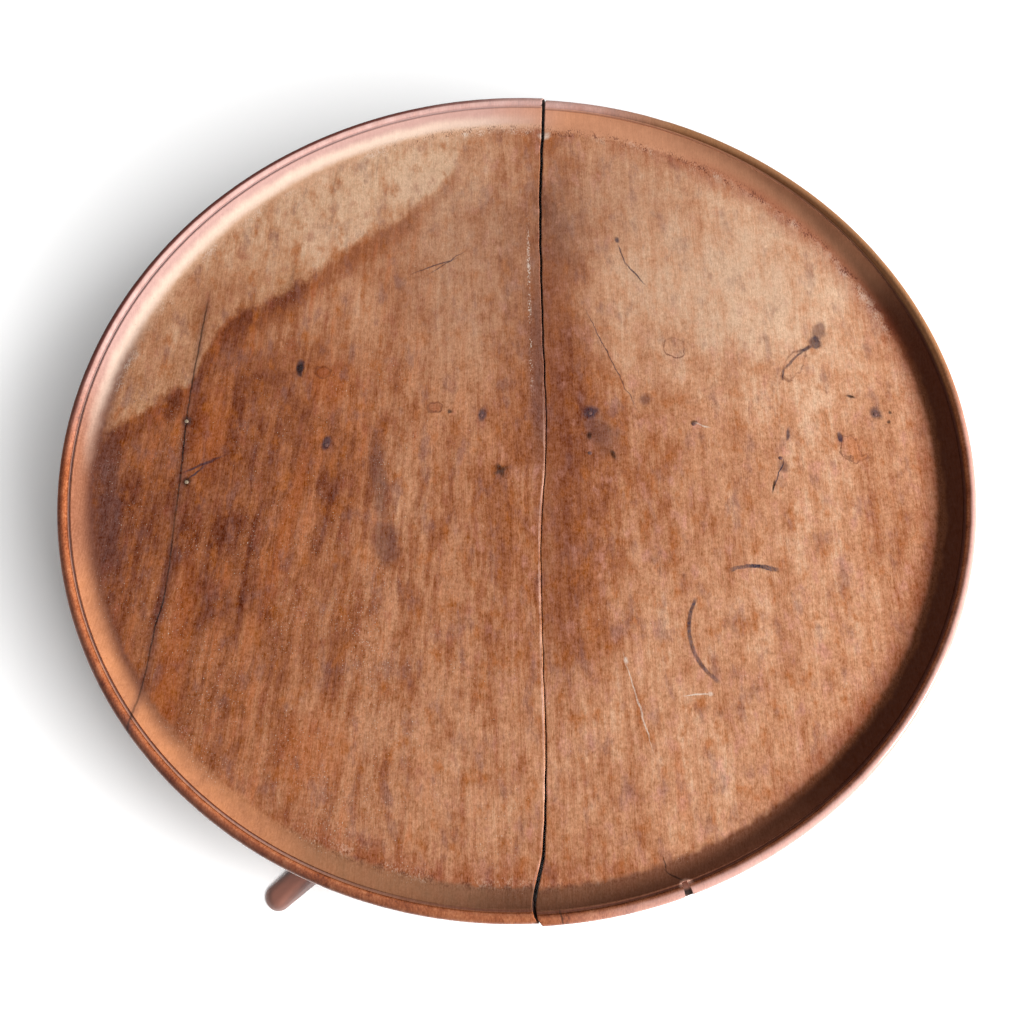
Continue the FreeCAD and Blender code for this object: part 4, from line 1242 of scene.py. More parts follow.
class WINETABLE_OT_strap(bpy.types.Operator):
    """Forges the three-armed strap under the pillar"""
    bl_idname = "wine_table.strap"
    bl_label = "Iron strap"

    def execute(self, context):
        iron = context.scene.wine_iron
        half = iron.strap_arm / 2
        shoulder = math.degrees(math.asin(half / iron.strap_hub))
        outline = []
        for degrees in sorted(LEG_TURNS.values()):
            end = arc((iron.strap_reach, 0.0), half, -90, 90, 13)
            hub = arc((0.0, 0.0), iron.strap_hub, shoulder, 120 - shoulder, 9)
            spin = Matrix.Rotation(math.radians(degrees), 2)
            outline += [tuple(spin @ Vector(place)) for place in (*end, *hub)]
        mesh = prism("strap", outline, STRAP_LOW.z, STRAP_HIGH.z, iron.strap_ease)
        finish = iron_finish("Forged strap", context.scene.wine_colours, STRAP_RUST)
        seat(place_piece(mesh, finish), "strap_iron", "leg_brace_plate")
        return {"FINISHED"}


# Finishes

def top_finish(colours, slip):
    """Worn, bleached and stained mahogany, with all that has happened to this top, and painted light and
    shade on its rim and split.
    """
    finish = Finish("Top mahogany")
    x, y, z = finish.split(finish.object_place())
    flat = finish.combine(x, y, 0.0)
    rag = finish.noise(flat, (6, 8, 1), 3.0)
    drift = finish.noise(flat, (34, 40, 1), 3.0)
    mottle = finish.noise(flat, (15, 26, 1), 6.0, 0.72)
    sway = finish.noise(finish.combine(y, x, 40.0), (6, 8, 1), 3.0)
    marks = Marks(finish, finish.combine(x + rag * 3.0, y + sway * 3.0, 1.0), rag)

    # The right half has slipped, so its rim is measured from its own middle
    beside = x - finish.line_at(y, SPLIT_COURSE)
    slipped = beside.rises(-0.4, 0.4) * (slip / MM)
    radius = finish.vector("LENGTH", finish.combine(x, y + slipped, 0.0), output="Value")
    left = x.rises(10, -60)

    # Grain: straight on the right, leaning on the left, with ribbons in the lower left
    grain = finish.combine(x - x.rises(-20, -190) * 0.09 * y + drift * 4, y, 0.0)
    band = finish.noise(grain, (13, 300, 1), 6.0, 0.7)
    streak = finish.noise(grain, (3.2, 70, 1), 5.0, 0.7)
    fibre = finish.noise(grain, (0.9, 10, 1), 3.0, 0.65)
    fuzz = finish.noise(grain, (0.8, 1.7, 1), 2.0, 0.7)
    ribbon = finish.noise(finish.combine(x - y * 0.16 + drift * 10, y, 0.0), (7, 80, 1), 4.0, 0.62)
    figured = marks.blot(-150, -60, 130, 190, 0, 0.6)
    tone = 0.56 + band * 0.36 + streak * 0.5 + mottle * 0.9
    # The right half lighter: faded wood, and partly painted light from the lamp's side.
    tone = tone + ribbon * figured * 0.85 + x.rises(14, 70) * 0.17
    for row in TOP_WASHES:
        tone = tone + marks.blot(*row[:5], soft=0.75, ragged=0.25) * row[5]

    # The tide line of an old wetting, with the bleached wood beyond it
    wander = drift * 16 + rag * 12 + mottle * 14
    beyond = y - finish.line_at(x, TIDE_LINE) + wander
    wetted = x.rises(-14, -50)
    bleached = beyond.rises(-4, 7) * wetted
    stained = beyond.rises(-24, -8) * beyond.rises(9, -2) * wetted * (drift + mottle).rises(-0.35, 0.1)
    burnt = (finish.line_at(x, BURNT_LINE) - y - wander).rises(-6, 9) * x.rises(-105, -150)
    tone = tone + bleached * 0.21 - stained * 0.22 - burnt * 0.04

    wood = finish.ramp(tone, (0.0, colours.tone_deep), (0.25, colours.tone_dark), (0.5, colours.tone_middle),
                       (0.75, colours.tone_light), (1.0, colours.tone_pale))
    warm = (ribbon + band + mottle).rises(0.0, 0.36) * (left * 0.5 + 0.14) * (1 - bleached * 0.8)
    warm = warm | marks.all(marks.blot, ORANGE_STAINS) * (0.42 + mottle)
    wood = finish.blend(warm, wood, colours.orange)
    cool = (streak * 0.8 - ribbon - band * 0.6).rises(0.05, 0.45) * (left * 0.45 + 0.12)
    wood = finish.blend(cool, wood, colours.plum)
    wood = finish.blend(bleached * (0.16 + drift * 0.8), wood, colours.tan)
    blush = finish.noise(flat, (9, 17, 1), 4.0, 0.6)
    calm = 1 - x.rises(20, 110) * y.rises(0, 140) * 0.6
    wood = finish.blend(blush.rises(0.02, 0.24) * calm * (0.6 - left * 0.5), wood, colours.blush)
    wood = finish.blend(blush.rises(0.04, 0.24) * left * 0.45, wood, colours.red)
    wood = finish.blend(blush.rises(-0.02, -0.22) * calm * 0.7, wood, colours.amber)
    haze = finish.noise(finish.combine(x, y, 90.0), (10, 24, 1), 4.0, 0.6)
    wood = finish.blend(haze.rises(0.02, 0.2) * 0.5, wood, colours.haze)
    wood = finish.blend(marks.all(marks.blot, ASH_STAINS) * (0.34 + mottle), wood, colours.ash)
    pores = (fibre + mottle * 0.4).rises(0.08, 0.24)
    wood = finish.blend(pores * 0.42, wood, colours.plum)
    fields = (x, y, z, radius, rag, drift, mottle, streak, fibre, fuzz)
    return stained_top(finish, colours, marks, wood, fields)


def stained_top(finish, colours, marks, wood, fields):
    """Adds the stains, the crack, the rim's wear with its painted light and shade, the notch's painted shade
    and the relief to the top's wood.
    """
    x, y, z, radius, rag, drift, mottle, streak, fibre, fuzz = fields
    blend = finish.blend
    on_floor = radius.rises(262, 257)
    patchy = mottle + fuzz * 0.7
    violet = marks.all(marks.blot, VIOLET_STAINS)
    wood = blend(violet * on_floor * (0.6 + patchy), wood, colours.violet)
    red = marks.all(marks.blot, RED_STAINS)
    wood = blend(red * on_floor * (0.4 + mottle), wood, colours.red)
    edges = marks.all(marks.outline, STAIN_EDGES)
    wood = blend(edges * on_floor * (0.5 + patchy * 2.4), wood, colours.stain_edge)
    ink = marks.all(marks.blot, INK_BLOTS) | marks.all(marks.stroke, INK_STROKES)
    wood = blend(ink * on_floor * (0.76 + patchy), wood, colours.ink)
    rings = marks.all(marks.ring, GLASS_RINGS)
    wood = blend(rings * on_floor * (0.66 + patchy * 2.0), wood, colours.ink)
    iron = marks.all(marks.blot, IRON_SPOTS)
    wood = blend(iron * on_floor * (0.76 + patchy), wood, colours.black)

    # The hairline crack through the left half
    crack_line = abs(x - finish.line_at(y, [(along, across) for across, along in LEFT_CRACK]) + rag * 1.6)
    cracked = y.rises(140, 110) * x.rises(-150, -180)
    crack = crack_line.rises(0.85, 0.2) * cracked * (0.7 + drift * 1.4 + fuzz)
    halo = crack_line.rises(4.5, 0.4) * cracked
    wood = split_wear(finish, colours, wood, fields)
    wood = rim_colours(finish, colours, wood, fields)
    wood = blend(halo * 0.4, wood, colours.violet)
    wood = blend(crack | marks.all(marks.stroke, RIM_CUTS) * 0.7, wood, colours.black)
    broken = marks.blot(*NOTCH_FACE) * z.rises(469.2, 468.4)
    wood = blend(broken * 0.9, wood, colours.lip)
    # Painted shade: the notch's cavity black below its pale broken face.
    wood = blend(broken * radius.rises(274.8, 276.8) * 0.9, wood, colours.black)

    # White specks and scratches, and dark pits
    crumbs = finish.noise(finish.combine(x, y, 7.0), (0.8, 1.1, 1), 1.0)
    thick = (drift * 1.4 + x.rises(60, -120) * 0.3 - y.rises(-120, 140) * 0.2).rises(-0.2, 0.5)
    specks = (crumbs + thick * 0.14).rises(0.29, 0.38) * radius.rises(268, 258)
    pits = (mottle * 0.25 - crumbs).rises(0.22, 0.34)
    speckle = finish.noise(finish.combine(x, y, 23.0), (2.8, 3.6, 1), 4.0, 0.75)
    grit = (fibre * 0.8 + fuzz * 0.9 + speckle * 1.15) * (0.9 - y.rises(0, 150) * 0.3)
    wood = finish.gritty(wood, grit * (1 - radius.rises(255, 263) * 0.7))
    chalk = marks.all(marks.stroke, WHITE_SCRATCHES) | marks.all(marks.blot, WHITE_SPOTS)
    wood = blend(pits * 0.5, wood, colours.plum)
    wood = blend((chalk * on_floor * (0.6 + fuzz + mottle * 1.5)) | specks * 0.65, wood, colours.chalk)
    finish.bump(fibre * 0.5 + fuzz * 0.3 + streak * 0.3, 0.16 * MM)
    polished = radius.rises(273.0, 274.5) * y.rises(60, -160)
    return finish.set(
        Base_Color=wood, Roughness=0.66 + mottle * 0.2 - polished * 0.2, Specular_IOR_Level=0.08,
        Coat_Weight=polished * (0.5 + mottle), Coat_Roughness=0.22)


def split_wear(finish, colours, wood, fields):
    """Rubbed and dirty wood along the split, with a painted highlight on the left board's upper edge."""
    x, y, _, _, rag, drift, mottle, streak, _, fuzz = fields
    beside = x - finish.line_at(y, SPLIT_COURSE) + rag * 0.5
    strip = beside.rises(-14, -4) * beside.rises(2, 0) * y.rises(-30, 40) * y.rises(190, 90)
    wood = finish.blend(strip * (0.62 + mottle * 1.4 + streak), wood, colours.violet)
    flank = beside.rises(32, 3) * beside.rises(0, 2) * y.rises(240, 120) * y.rises(-190, -90)
    flank = flank * (0.4 + mottle)
    wood = finish.blend(flank, wood, colours.tone_dark)
    crumbled = abs(beside + 8.0).rises(1.6, 0.3) * (fuzz + mottle).rises(0.0, 0.15)
    wood = finish.blend(crumbled * y.rises(40, 70) * y.rises(200, 150) * 0.7, wood, colours.chalk)
    # Painted highlight: a pale line along the left board's upper edge, which faces the low lamp.
    lip = abs(beside + 1.1).rises(0.75, 0.2) * (drift * 2 + mottle + 0.45) * y.rises(70, 20)
    return finish.blend(lip, wood, colours.lip)


def rim_colours(finish, colours, wood, fields):
    """The rim by its zones and sides: hollow, groove, bead and outer edge, with painted shade on the sides
    that turn from the low lamp and painted light on those facing it.
    """
    x, y, z, radius, rag, drift, mottle, streak, fibre, fuzz = fields
    blend = finish.blend
    unit = finish.vector("NORMALIZE", finish.combine(x, y, 0.0))

    def side(degrees, none, full):
        """1 on the side of an angle, fading to 0."""
        way = (math.cos(math.radians(degrees)), math.sin(math.radians(degrees)), 0.0)
        facing = finish.vector("DOT_PRODUCT", unit, way, output="Value")
        return (facing + drift * 0.12).rises(math.cos(math.radians(none)), math.cos(math.radians(full)))

    climb = ((radius + rag * 1.5 - HOLLOW_FOOT) / HOLLOW_RUN).rises(0.0, 0.75)
    lit, left, near = side(128, 50, 28), side(188, 40, 20), side(262, 30, 10)
    near_left, far, far_right = side(226, 40, 20), side(64, 55, 32), side(40, 42, 20)
    # Sides turned from and towards the low lamp: dark carries painted shade, bright a painted highlight.
    dark, bright = side(-15, 50, 32), side(-38, 52, 26)
    grain = 0.5 + streak * 0.5 + fuzz * 0.7 + fibre * 0.4 + mottle * 0.6
    cove = finish.ramp(grain, (0.0, colours.cove_dark), (1.0, colours.cove_light))
    cove = blend(near_left * (0.6 + mottle * 1.5), cove, colours.peach)
    cove = blend(far * (0.85 + mottle), cove, colours.cove_far)
    # Painted light: pink, tan and cream where the hollow faces the low lamp, with the sky's sheen.
    cove = blend(lit * 0.9, cove, colours.cove_pink)
    cove = blend(lit * (1 - climb).rises(0.4, 0.9) * 0.8, cove, colours.foot_tan)
    palest = abs(radius + rag * 3.0 + drift * 4.0 - 264.5).rises(6.0, 0.5)
    cove = blend(side(132, 50, 26) * palest * 0.85, cove, colours.cream)
    cove = blend(left * (1 - climb) * (0.75 + mottle), cove, colours.plum)
    # Partly dirt, partly painted shade: darker olive brown in the near hollow.
    cove = blend(near * (0.6 + mottle * 1.5), cove, colours.grime_and_shade)
    # Painted shadow: the rim's shadow in the hollow on the side away from the low lamp, with old dirt, eased
    # lighter at its foot.
    cove = blend(dark * (0.92 + fuzz * 0.5), cove, colours.soot_and_shadow)
    foot = dark * (radius + rag * 5.0 + drift * 8.0).rises(263.5, 260.5)
    cove = blend(foot * (0.35 + fuzz), cove, colours.tone_middle)
    cove = blend(side(36, 30, 12) * (1 - climb) * 0.55, cove, colours.red)
    # Painted shadow with soot in the near-right hollow, away from the low lamp.
    cove = blend(side(287, 26, 8) * 0.45, cove, colours.soot_and_shadow)
    # Painted shadow: the floor next to the hollow darkened red on the sides that turn from the low lamp.
    floor_shadow_band = (radius + rag * 6 + drift * 14).rises(240, 259)
    wood = blend(floor_shadow_band * (dark * 0.6 | far_right * 0.5 | near * 0.3), wood, colours.red)
    ragged = radius + rag * 6.0 + fuzz * 3.0 + bright + lit * mottle * 10.0
    wood = blend(ragged.rises(257.0 - lit * 5.0, 260.6 + lit), wood, cove)
    crust = abs(radius + rag * 9 - 257.0).rises(5.0, 0.6) * (mottle + fuzz).rises(0.02, 0.14)
    crusted = (far * 0.3 + lit * 0.4 + near * 0.2) * (drift + mottle).rises(-0.1, 0.2)
    wood = blend(crust * crusted, wood, colours.chalk)
    grit = abs(radius + rag * 9 - 259.5).rises(5.0, 0.8) * (rag - fuzz).rises(0.04, 0.2)
    wood = blend(grit * (far * 0.8 + near * 0.5), wood, colours.plum)
    bead = finish.ramp(0.5 + mottle * 1.1 + fuzz * 0.8 + rag * 0.6, (0.15, colours.bead_dark),
                       (0.5, colours.bead), (0.9, colours.bead_light))
    bead = blend(far_right * 0.75, bead, colours.bead_gold)
    # Painted light: pale pink where the bead faces the low lamp, with the sky's sheen.
    bead = blend(side(122, 58, 36) * (0.75 + mottle), bead, colours.bead_pink)
    # Painted highlight: the bead's outer half pale where the low lamp falls on it at the near right.
    rubbed = bright * (0.85 + mottle * 0.6) * (radius + rag * 0.8).rises(275.2, 277.0)
    bead = blend(rubbed, bead, colours.bead_highlight)
    wood = blend(radius.rises(273.2, 274.2), wood, bead)
    worn = (drift + mottle * 0.8).rises(0.12, 0.3) * near
    wood = blend(worn * radius.rises(275, 277) * 0.7, wood, colours.red)
    groove = abs(radius - GROOVE_MIDDLE + rag * 0.4).rises(0.85, 0.3)
    waxed = side(165, 100, 70)
    wood = blend(groove * waxed * 0.5, wood, colours.quirk_grey)
    wood = blend(groove * (1 - waxed) * 0.6, wood, colours.plum)
    # Painted shade: the bead's outer half darker on the far-left side, away from the low lamp, and the edge
    # under the bead darker except where the lamp falls at the near right.
    shaded = side(130, 50, 28) * 0.45 + side(172, 92, 62) * 0.45
    outer = (radius + rag * 0.5).rises(275.7, 276.6) * shaded
    below_bead = (z - side(112, 52, 30) * 1.2).rises(467.6, 465.4) * radius.rises(275.5, 276.5)
    edge = below_bead * (0.9 - bright * 0.85)
    return blend(outer | edge, wood, colours.edge_dark)


def grain_wood(finish, place, dark, light):
    """Plain streaked wood along the first axis of a place, with its streaks and pores."""
    streak = finish.noise(place, (190, 5, 5), 4.0, 0.6)
    pores = finish.noise(place, (14, 0.8, 0.8), 2.0, 0.6)
    cloud = finish.noise(place, (70, 40, 40), 4.0, 0.6)
    tone = 0.5 + streak * 0.9 + pores * 0.5 + cloud * 0.5
    return finish.ramp(tone, (0.1, dark), (0.9, light)), streak, pores, cloud


def bare_finish(name, colours, attribute=None):
    """Unpolished, dry and dusty wood."""
    finish = Finish(name)
    place = finish.own_place(attribute) if attribute else finish.board_place()
    wood, streak, pores, cloud = grain_wood(finish, place, colours.bare_dark, colours.bare_light)
    finish.bump(pores * 0.6 + streak * 0.5, 0.3 * MM)
    return finish.set(Base_Color=wood, Roughness=0.8 + cloud * 0.2, Specular_IOR_Level=0.25)


def split_finish(colours):
    """Broken wood inside the split, nearly black: painted shade of the narrow gap, with its dirt."""
    finish = Finish("Split wood")
    place = finish.board_place()
    wood, streak, pores, cloud = grain_wood(finish, place, colours.black, colours.split_wood)
    finish.bump(pores * 0.8 + streak, 0.4 * MM)
    return finish.set(Base_Color=wood, Roughness=0.85 + cloud * 0.1, Specular_IOR_Level=0.2)


def base_finish(name, colours):
    """Dark red-brown satin polish, rubbed paler where hands and feet reach it."""
    finish = Finish(name)
    place = finish.own_place("grain")
    worn = finish.node("ShaderNodeAttribute", {"attribute_name": "wear"}, output="Fac")
    wood, streak, pores, cloud = grain_wood(finish, place, colours.base_dark, colours.base_middle)
    rubbed = (worn + cloud * 0.9 + streak * 0.4).rises(0.25, 0.95)
    wood = finish.blend(rubbed * 0.7, wood, colours.base_worn)
    finish.bump(pores * 0.5 + streak * 0.4, 0.15 * MM)
    return finish.set(
        Base_Color=wood, Roughness=0.38 + cloud * 0.25 + rubbed * 0.12, Coat_Weight=0.25 - rubbed * 0.15,
        Coat_Roughness=0.3, Specular_IOR_Level=0.45)


def iron_finish(name, colours, rusty):
    """Dull worn iron with rust in its hollows."""
    finish = Finish(name)
    place = finish.object_place()
    cloud = finish.noise(place, (6, 6, 6), 4.0, 0.6)
    pits = finish.noise(place, (0.9, 0.9, 0.9), 3.0, 0.6)
    metal = finish.ramp(0.5 + pits + cloud * 0.6, (0.2, colours.iron_dark), (0.8, colours.iron))
    rust = (cloud * 1.4 + pits * 0.6 + rusty - 0.5).rises(0.0, 0.5)
    painted = finish.blend(rust * 0.8, metal, colours.rust)
    finish.bump(pits + cloud, 0.15 * MM)
    return finish.set(Base_Color=painted, Metallic=0.85 - rust * 0.7, Roughness=0.5 + rust * 0.3)


def nail_finish(colours):
    """Blackened nail heads, rubbed bare at the left end of the row."""
    finish = Finish("Nail iron")
    place = finish.object_place()
    across = finish.split(place)[0]
    pits = finish.noise(place, (0.9, 0.9, 0.9), 3.0, 0.6)
    rubbed = across.rises(-140, -180) * (0.75 + pits)
    metal = finish.blend(rubbed, colours.violet, colours.nail)
    finish.bump(pits, 0.2 * MM)
    return finish.set(Base_Color=metal, Metallic=0.2 + rubbed * 0.5, Roughness=0.6 + pits * 0.3)


# Places on the top, in mm across and along

# Washes: middle, half sizes, turn and strength.
TOP_WASHES = (
    (140, 125, 150, 120, -25, 0.12),
    (55, 205, 65, 50, 0, -0.15),
    (37, 60, 18, 190, 2, -0.18),
    (42, 85, 22, 75, 0, -0.10),
    (34, -95, 20, 60, 0, -0.08),
    (55, -215, 60, 40, 0, -0.05),
    (100, 5, 60, 85, 0, -0.15),
    (0, 30, 16, 140, 0, -0.10),
    (-190, -40, 95, 150, 8, -0.11),
    (-186, 60, 30, 70, 0, -0.06),
    (-120, 95, 60, 34, -38, -0.08),
    (-250, -45, 9, 62, 8, -0.10),
    (-232, -60, 22, 110, 6, -0.04),
    (-100, -120, 80, 75, 0, 0.06),
    (-90, 215, 95, 45, 20, 0.14),
    (-60, -200, 120, 60, 0, 0.05),
    (110, -190, 120, 60, 20, -0.04),
    (-60, 120, 60, 90, -20, 0.10),
    (-6, 150, 30, 62, 0, -0.12),
    (-72, 170, 26, 40, 0, -0.08),
    (-189, 118, 20, 25, 0, -0.10),
    (-108, 17, 22, 30, 0, -0.12),
    (-178, -72, 22, 30, 0, -0.09),
    (32, -177, 25, 46, 0, 0.12),
    (-20, -216, 42, 26, 0, 0.09),
    (160, 115, 46, 36, 0, 0.10),
    (80, 0, 25, 50, 0, -0.08),
    (113, -21, 18, 20, 0, 0.08),
    (-70, -15, 18, 28, 0, 0.10),
    (-104, 112, 34, 26, -30, 0.13),
    (-152, 104, 20, 14, -30, 0.10),
    (-30, 219, 62, 20, 0, 0.11),
    (49, 172, 22, 38, 0, -0.10),
    (227, -30, 22, 115, 0, -0.12),
    (99, -204, 24, 30, 0, 0.09),
    (64, -217, 15, 18, 0, -0.08),
    (-213, -100, 14, 28, 0, 0.09),
    (-70, 113, 16, 28, 0, -0.14),
    (-72, 180, 12, 16, 0, -0.06),
)

# Lines: the old tide mark, the darker wood inside it, and the crack in the left half.
TIDE_LINE = (
    (-265, 14), (-259, 23), (-236, 41), (-217, 56), (-204, 65), (-193, 92), (-174, 117), (-162, 119),
    (-150, 131), (-133, 141), (-118, 151), (-106, 162), (-83, 176), (-67, 188), (-44, 212), (-28, 243),
)

BURNT_LINE = (
    (-265, 10), (-247, 19), (-223, 26), (-210, 40), (-194, 58), (-180, 73), (-160, 76), (-135, 70),
    (-110, 60),
)

LEFT_CRACK = (
    (-196.3, 130.2), (-201.8, 81.2), (-205.4, 37.8), (-206.4, 6.2), (-208.4, -37.3), (-209.9, -69.5),
    (-215.6, -105), (-219, -130.9), (-223.7, -159.7), (-227, -190), (-230, -280),
)

# Stains: middle, half sizes, turn, softness and raggedness.
ASH_STAINS = (
    (-25, 160, 45, 85, 0, 0.7, 0.6),
    (75, 185, 70, 55, 0, 0.7, 0.6),
    (120, 130, 75, 65, 0, 0.7, 0.6),
)

ORANGE_STAINS = (
    (-190, 28, 11, 30, -4, 0.6, 0.8),
    (-204, -125, 8, 65, -6, 0.6, 0.8),
    (-140, -40, 5, 60, -12, 0.6, 0.8),
    (-115, 60, 14, 16, 0, 0.6, 0.9),
    (-120, -180, 20, 24, -10, 0.6, 0.9),
    (88, -205, 3, 24, 2, 0.5, 0.5),
    (210.5, 4, 6, 9, 8, 0.4, 1.2),
)

VIOLET_STAINS = (
    (197, 88.5, 4.2, 7.0, -12, 0.3, 0.6),
    (-79.6, -50, 8, 15, 10, 0.35, 0.9),
    (-84, -8, 5, 30, 6, 0.6, 0.9),
    (83.5, 43, 4, 4, 0, 0.6, 0.9),
    (54, 20, 8, 16, 25, 0.7, 0.9),
    (-250, -20, 8, 55, 4, 0.6, 0.9),
    (165, -7, 3, 4, 0, 0.6, 0.9),
)

RED_STAINS = (
    (-121, 70, 4, 4, 0, 0.4, 0.8),
    (-49.8, 42, 3.8, 4.0, 10, 0.3, 0.6),
    (-141.5, 90, 4, 5, 0, 0.5, 0.9),
    (202, 9, 2.4, 4, 10, 0.4, 0.9),
)

# Dried edges: middle, half sizes, turn, line and raggedness.
STAIN_EDGES = (
    (178.8, 64.8, 5.4, 12.5, -33, 0.15, 1.0),
    (103.8, 79.9, 6.4, 7.2, 30, 0.12, 1.0),
    (-49.8, 42.0, 4.0, 4.2, 10, 0.28, 1.6),
    (-121.0, 69.8, 4.6, 4.2, 0, 0.3, 2.2),
    (208.5, 4.0, 6.4, 9.0, 20, 0.16, 2.6),
)

# Ink: blots as the stains are, and strokes by both ends, width, softness and raggedness.
INK_BLOTS = (
    (194.0, 81.0, 3.9, 4.4, 0, 0.3, 0.8),
    (71.9, 164.1, 1.7, 2.4, 20, 0.5, 0.6),
    (-96.5, -243.0, 5.0, 3.0, 0, 0.5, 1.2),
    (226.4, 28.5, 3.6, 4.2, 0, 0.4, 1.0),
    (48.0, 35.0, 4.4, 4.2, 0, 0.5, 0.9),
    (-19.7, 35.3, 2.4, 4.2, -10, 0.5, 0.6),
    (-117.2, 18.7, 2.6, 4.6, -20, 0.4, 0.7),
    (-135.2, 73.2, 2.4, 5.4, 0, 0.4, 1.0),
    (202.0, 12.0, 1.6, 3.4, 10, 0.4, 0.7),
    (170.1, 15.5, 1.1, 4.6, -12, 0.5, 0.5),
)

INK_STROKES = (
    (193.0, 79.0, 183.0, 74.0, 2.6, 0.5, 0.3),
    (186.0, 75.5, 172.0, 62.0, 1.8, 0.5, 0.3),
    (172.5, 63.0, 170.5, 55.0, 1.3, 0.5, 0.3),
    (72.5, 160.0, 76.0, 145.0, 1.0, 0.6, 0.5),
    (75.5, 147.0, 88.0, 129.0, 1.1, 0.6, 0.5),
    (49.5, 108.0, 76.4, 38.5, 0.6, 0.5, 0.3),
    (-61.8, 143.4, -36.1, 152.7, 1.0, 0.5, 0.3),
    (-52.0, 142.0, -30.0, 158.0, 0.6, 0.5, 0.2),
    (166.0, -2.0, 157.5, -22.0, 0.8, 0.5, 0.6),
    (-204.0, 1.5, -181.0, 11.6, 1.8, 0.5, 0.4),
    (-202.0, -4.0, -192.0, 5.0, 1.4, 0.5, 0.4),
)

# Ring marks: middle, radius, width, middle angle and spread.
GLASS_RINGS = (
    (139.7, -113.4, 40.5, 2.8, 88, 22),
    (139.7, -113.4, 40.5, 2.2, 190, 42),
)

# Iron drawn into the wood, as the stains are.
IRON_SPOTS = (
    (-205.3, 37.0, 3.0, 3.4, 0, 0.5, 0.9),
    (-202.6, -5.7, 2.7, 2.8, 0, 0.5, 0.9),
    (-39.8, 38.8, 1.4, 1.4, 0, 0.6, 0.6),
    (-135.4, 72.6, 1.8, 4.0, 0, 0.5, 0.9),
    (-9.3, -4.0, 1.7, 4.4, 25, 0.6, 1.4),
    (-9.3, -4.0, 4.2, 1.5, 30, 0.6, 1.4),
    (46.6, 18.2, 1.4, 2.2, 0, 0.6, 0.8),
    (60.8, 5.1, 1.4, 2.8, 20, 0.6, 0.8),
    (112.5, 25.3, 1.9, 1.8, 0, 0.3, 0.4),
    (158.0, -20.0, 0.7, 4.4, -14, 0.5, 0.5),
    (212.2, 40.4, 3.0, 1.0, -20, 0.5, 0.7),
    (235.1, 28.2, 1.0, 1.2, 0, 0.5, 0.5),
    (233.7, 21.8, 1.0, 1.2, 0, 0.5, 0.5),
)

# Scratches and cuts: both ends, width, softness and raggedness.
WHITE_SCRATCHES = (
    (61.1, -131.5, 73.0, -181.5, 0.9, 0.5, 0.4),
    (93.8, -152.5, 108.8, -151.7, 0.9, 0.5, 0.4),
    (113.5, 25.0, 121.0, 22.0, 1.0, 0.5, 0.4),
)

WHITE_SPOTS = (
    (108.8, -151.7, 1.4, 1.4, 0, 0.5, 0.6),
    (61.4, -130.0, 1.2, 2.0, 10, 0.5, 0.9),
    (27.0, 252.0, 4.0, 3.0, 0, 0.6, 1.6),
)

RIM_CUTS = (
    (75.2, -244.0, 76.2, -253.0, 0.7, 0.5, 0.3),
    (75.8, -252.5, 86.0, -260.0, 1.0, 0.5, 0.3),
    (16.8, -273.0, 18.8, -281.0, 0.9, 0.5, 0.3),
)

# Broken wood of the notch: middle, half sizes, turn and softness.
NOTCH_FACE = (86.8, -263.0, 4.4, 4.6, 0, 0.3)


# Stage

SENSOR_WIDTH = 36.0
CAMERA_PLACE = Vector((0.0, -0.4331, 1.3153))
CAMERA_TARGET = Vector((0.0, 0.0, 0.467))
CAMERA_YAW, CAMERA_PITCH, CAMERA_ROLL = (math.radians(angle) for angle in (-0.1593, -1.9113, -1.6732))


def lit_from(name, place, aim, side, level, receivers):
    """A square lamp that lights level white at its aim by that share, for its own receivers only."""
    lamp = bpy.data.lights.new(name, "AREA")
    lamp.size = side
    way = place - aim
    lamp.energy = level * math.pi**2 * way.length**3 / way.z
    lamp_object = bpy.data.objects.new(name, lamp)
    lamp_object.matrix_world = Matrix.Translation(place) @ way.to_track_quat("Z", "Y").to_matrix().to_4x4()
    bpy.context.scene.collection.objects.link(lamp_object)
    group = bpy.data.collections.new(f"{name} lights")
    for piece in receivers:
        group.objects.link(piece)
    lamp_object.light_linking.receiver_collection = group


def swung(first, second, angle):
    """Two axes turned about the third one, the first towards the second."""
    cos, sin = math.cos(angle), math.sin(angle)
    return first * cos + second * sin, second * cos - first * sin


def stand_camera(stage):
    """Puts the camera where the top fills the frame, with its small turns."""
    camera = bpy.data.cameras.new("Camera")
    camera.lens = stage.lens
    camera.sensor_width = SENSOR_WIDTH
    forward = (CAMERA_TARGET - CAMERA_PLACE).normalized()
    right = Vector((1.0, 0.0, 0.0))
    up = right.cross(forward)
    forward, right = swung(forward, right, CAMERA_YAW)
    forward, up = swung(forward, up, CAMERA_PITCH)
    right, up = swung(right, up, CAMERA_ROLL)
    holder = bpy.data.objects.new("Camera", camera)
    axes = Matrix((right, up, -forward)).transposed().to_4x4()
    holder.matrix_world = Matrix.Translation(CAMERA_PLACE) @ axes
    bpy.context.scene.collection.objects.link(holder)
    bpy.context.scene.camera = holder


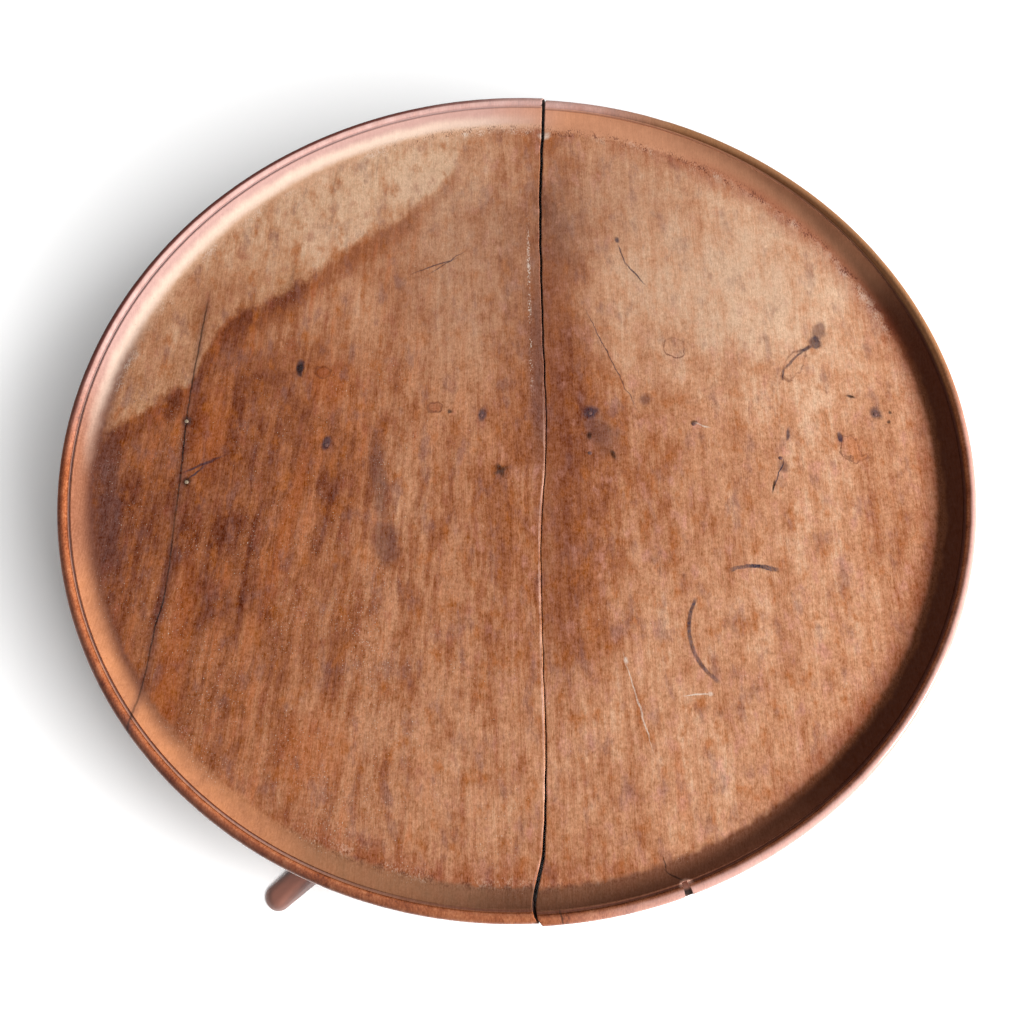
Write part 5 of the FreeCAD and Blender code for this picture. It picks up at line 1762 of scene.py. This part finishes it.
class WINETABLE_OT_stage(bpy.types.Operator):
    """Sets the floor, the lamps, the sky and the camera"""
    bl_idname = "wine_table.stage"
    bl_label = "Stage"

    def execute(self, context):
        stage = context.scene.wine_stage
        context.scene.view_settings.view_transform = "Standard"
        half = stage.floor_side / 2
        mesh = bpy.data.meshes.new("floor")
        corners = ((-half, -half), (half, -half), (half, half), (-half, half))
        mesh.from_pydata([(x, y, 0) for x, y in corners], [], [(0, 1, 2, 3)])
        paper = Finish("White floor")
        away = paper.vector("LENGTH", paper.object_place(), output="Value")
        glow = away.rises(stage.glow_start / MM, stage.glow_end / MM) * paper.seen()
        floor = place_piece(mesh, paper.set(
            Base_Color=(1.0, 1.0, 1.0, 1.0), Roughness=1.0, Specular_IOR_Level=0.0, Emission_Color=glow,
            Emission_Strength=1.0))
        pieces = [piece for piece in context.scene.objects if piece.type == "MESH" and piece is not floor]
        along = stage.key_distance * math.cos(stage.key_lift)
        key_place = CAMERA_TARGET + Vector((
            along * math.cos(stage.key_turn), along * math.sin(stage.key_turn),
            stage.key_distance * math.sin(stage.key_lift)))
        lit_from("Key", key_place, CAMERA_TARGET, stage.key_size, stage.key_level, pieces)
        floor_place = CAMERA_PLACE + Vector((stage.floor_shift, 0.0, 0.0))
        middle = Vector((0.0, 0.0, 0.0))
        lit_from("Floor light", floor_place, middle, stage.floor_size, stage.floor_level, [floor])
        self.sky(context, stage)
        stand_camera(stage)
        return {"FINISHED"}

    @staticmethod
    def sky(context, stage):
        """Even light all round, which looks white to the camera and in reflections."""
        world = bpy.data.worlds.new("Sky")
        context.scene.world = world
        world.use_nodes = True
        sheet = Sheet(world.node_tree)
        background = world.node_tree.nodes["Background"]
        background.inputs["Color"].default_value = (1.0, 1.0, 1.0, 1.0)
        sheet.feed(background.inputs["Strength"], sheet.seen() * (1.0 - stage.sky_level) + stage.sky_level)


class WINETABLE_PT_build(bpy.types.Panel):
    """Steps and sizes of the wine table"""
    bl_label = "Wine table"
    bl_space_type = "VIEW_3D"
    bl_region_type = "UI"
    bl_category = "Wine table"

    def draw(self, context):
        layout = self.layout
        for step in STEPS:
            layout.operator(step.bl_idname)
        for name, group in GROUPS.items():
            box = layout.box()
            box.label(text=group.__doc__)
            for key in group.__annotations__:
                box.prop(getattr(context.scene, name), key)


STEPS = (
    WINETABLE_OT_top_boards,
    WINETABLE_OT_cleat,
    WINETABLE_OT_fasteners,
    WINETABLE_OT_pillar,
    WINETABLE_OT_legs,
    WINETABLE_OT_strap,
    WINETABLE_OT_stage,
)


def register():
    for kind in (*GROUPS.values(), *STEPS, WINETABLE_PT_build):
        bpy.utils.register_class(kind)
    for name, group in GROUPS.items():
        setattr(bpy.types.Scene, name, bpy.props.PointerProperty(type=group))


def unregister():
    for name in GROUPS:
        delattr(bpy.types.Scene, name)
    for kind in reversed((*GROUPS.values(), *STEPS, WINETABLE_PT_build)):
        bpy.utils.unregister_class(kind)


def main():
    register()
    bpy.ops.wine_table.top_boards()
    bpy.ops.wine_table.cleat()
    bpy.ops.wine_table.fasteners()
    bpy.ops.wine_table.pillar()
    bpy.ops.wine_table.legs()
    bpy.ops.wine_table.strap()
    bpy.ops.wine_table.stage()


if __name__ == "__main__":
    main()
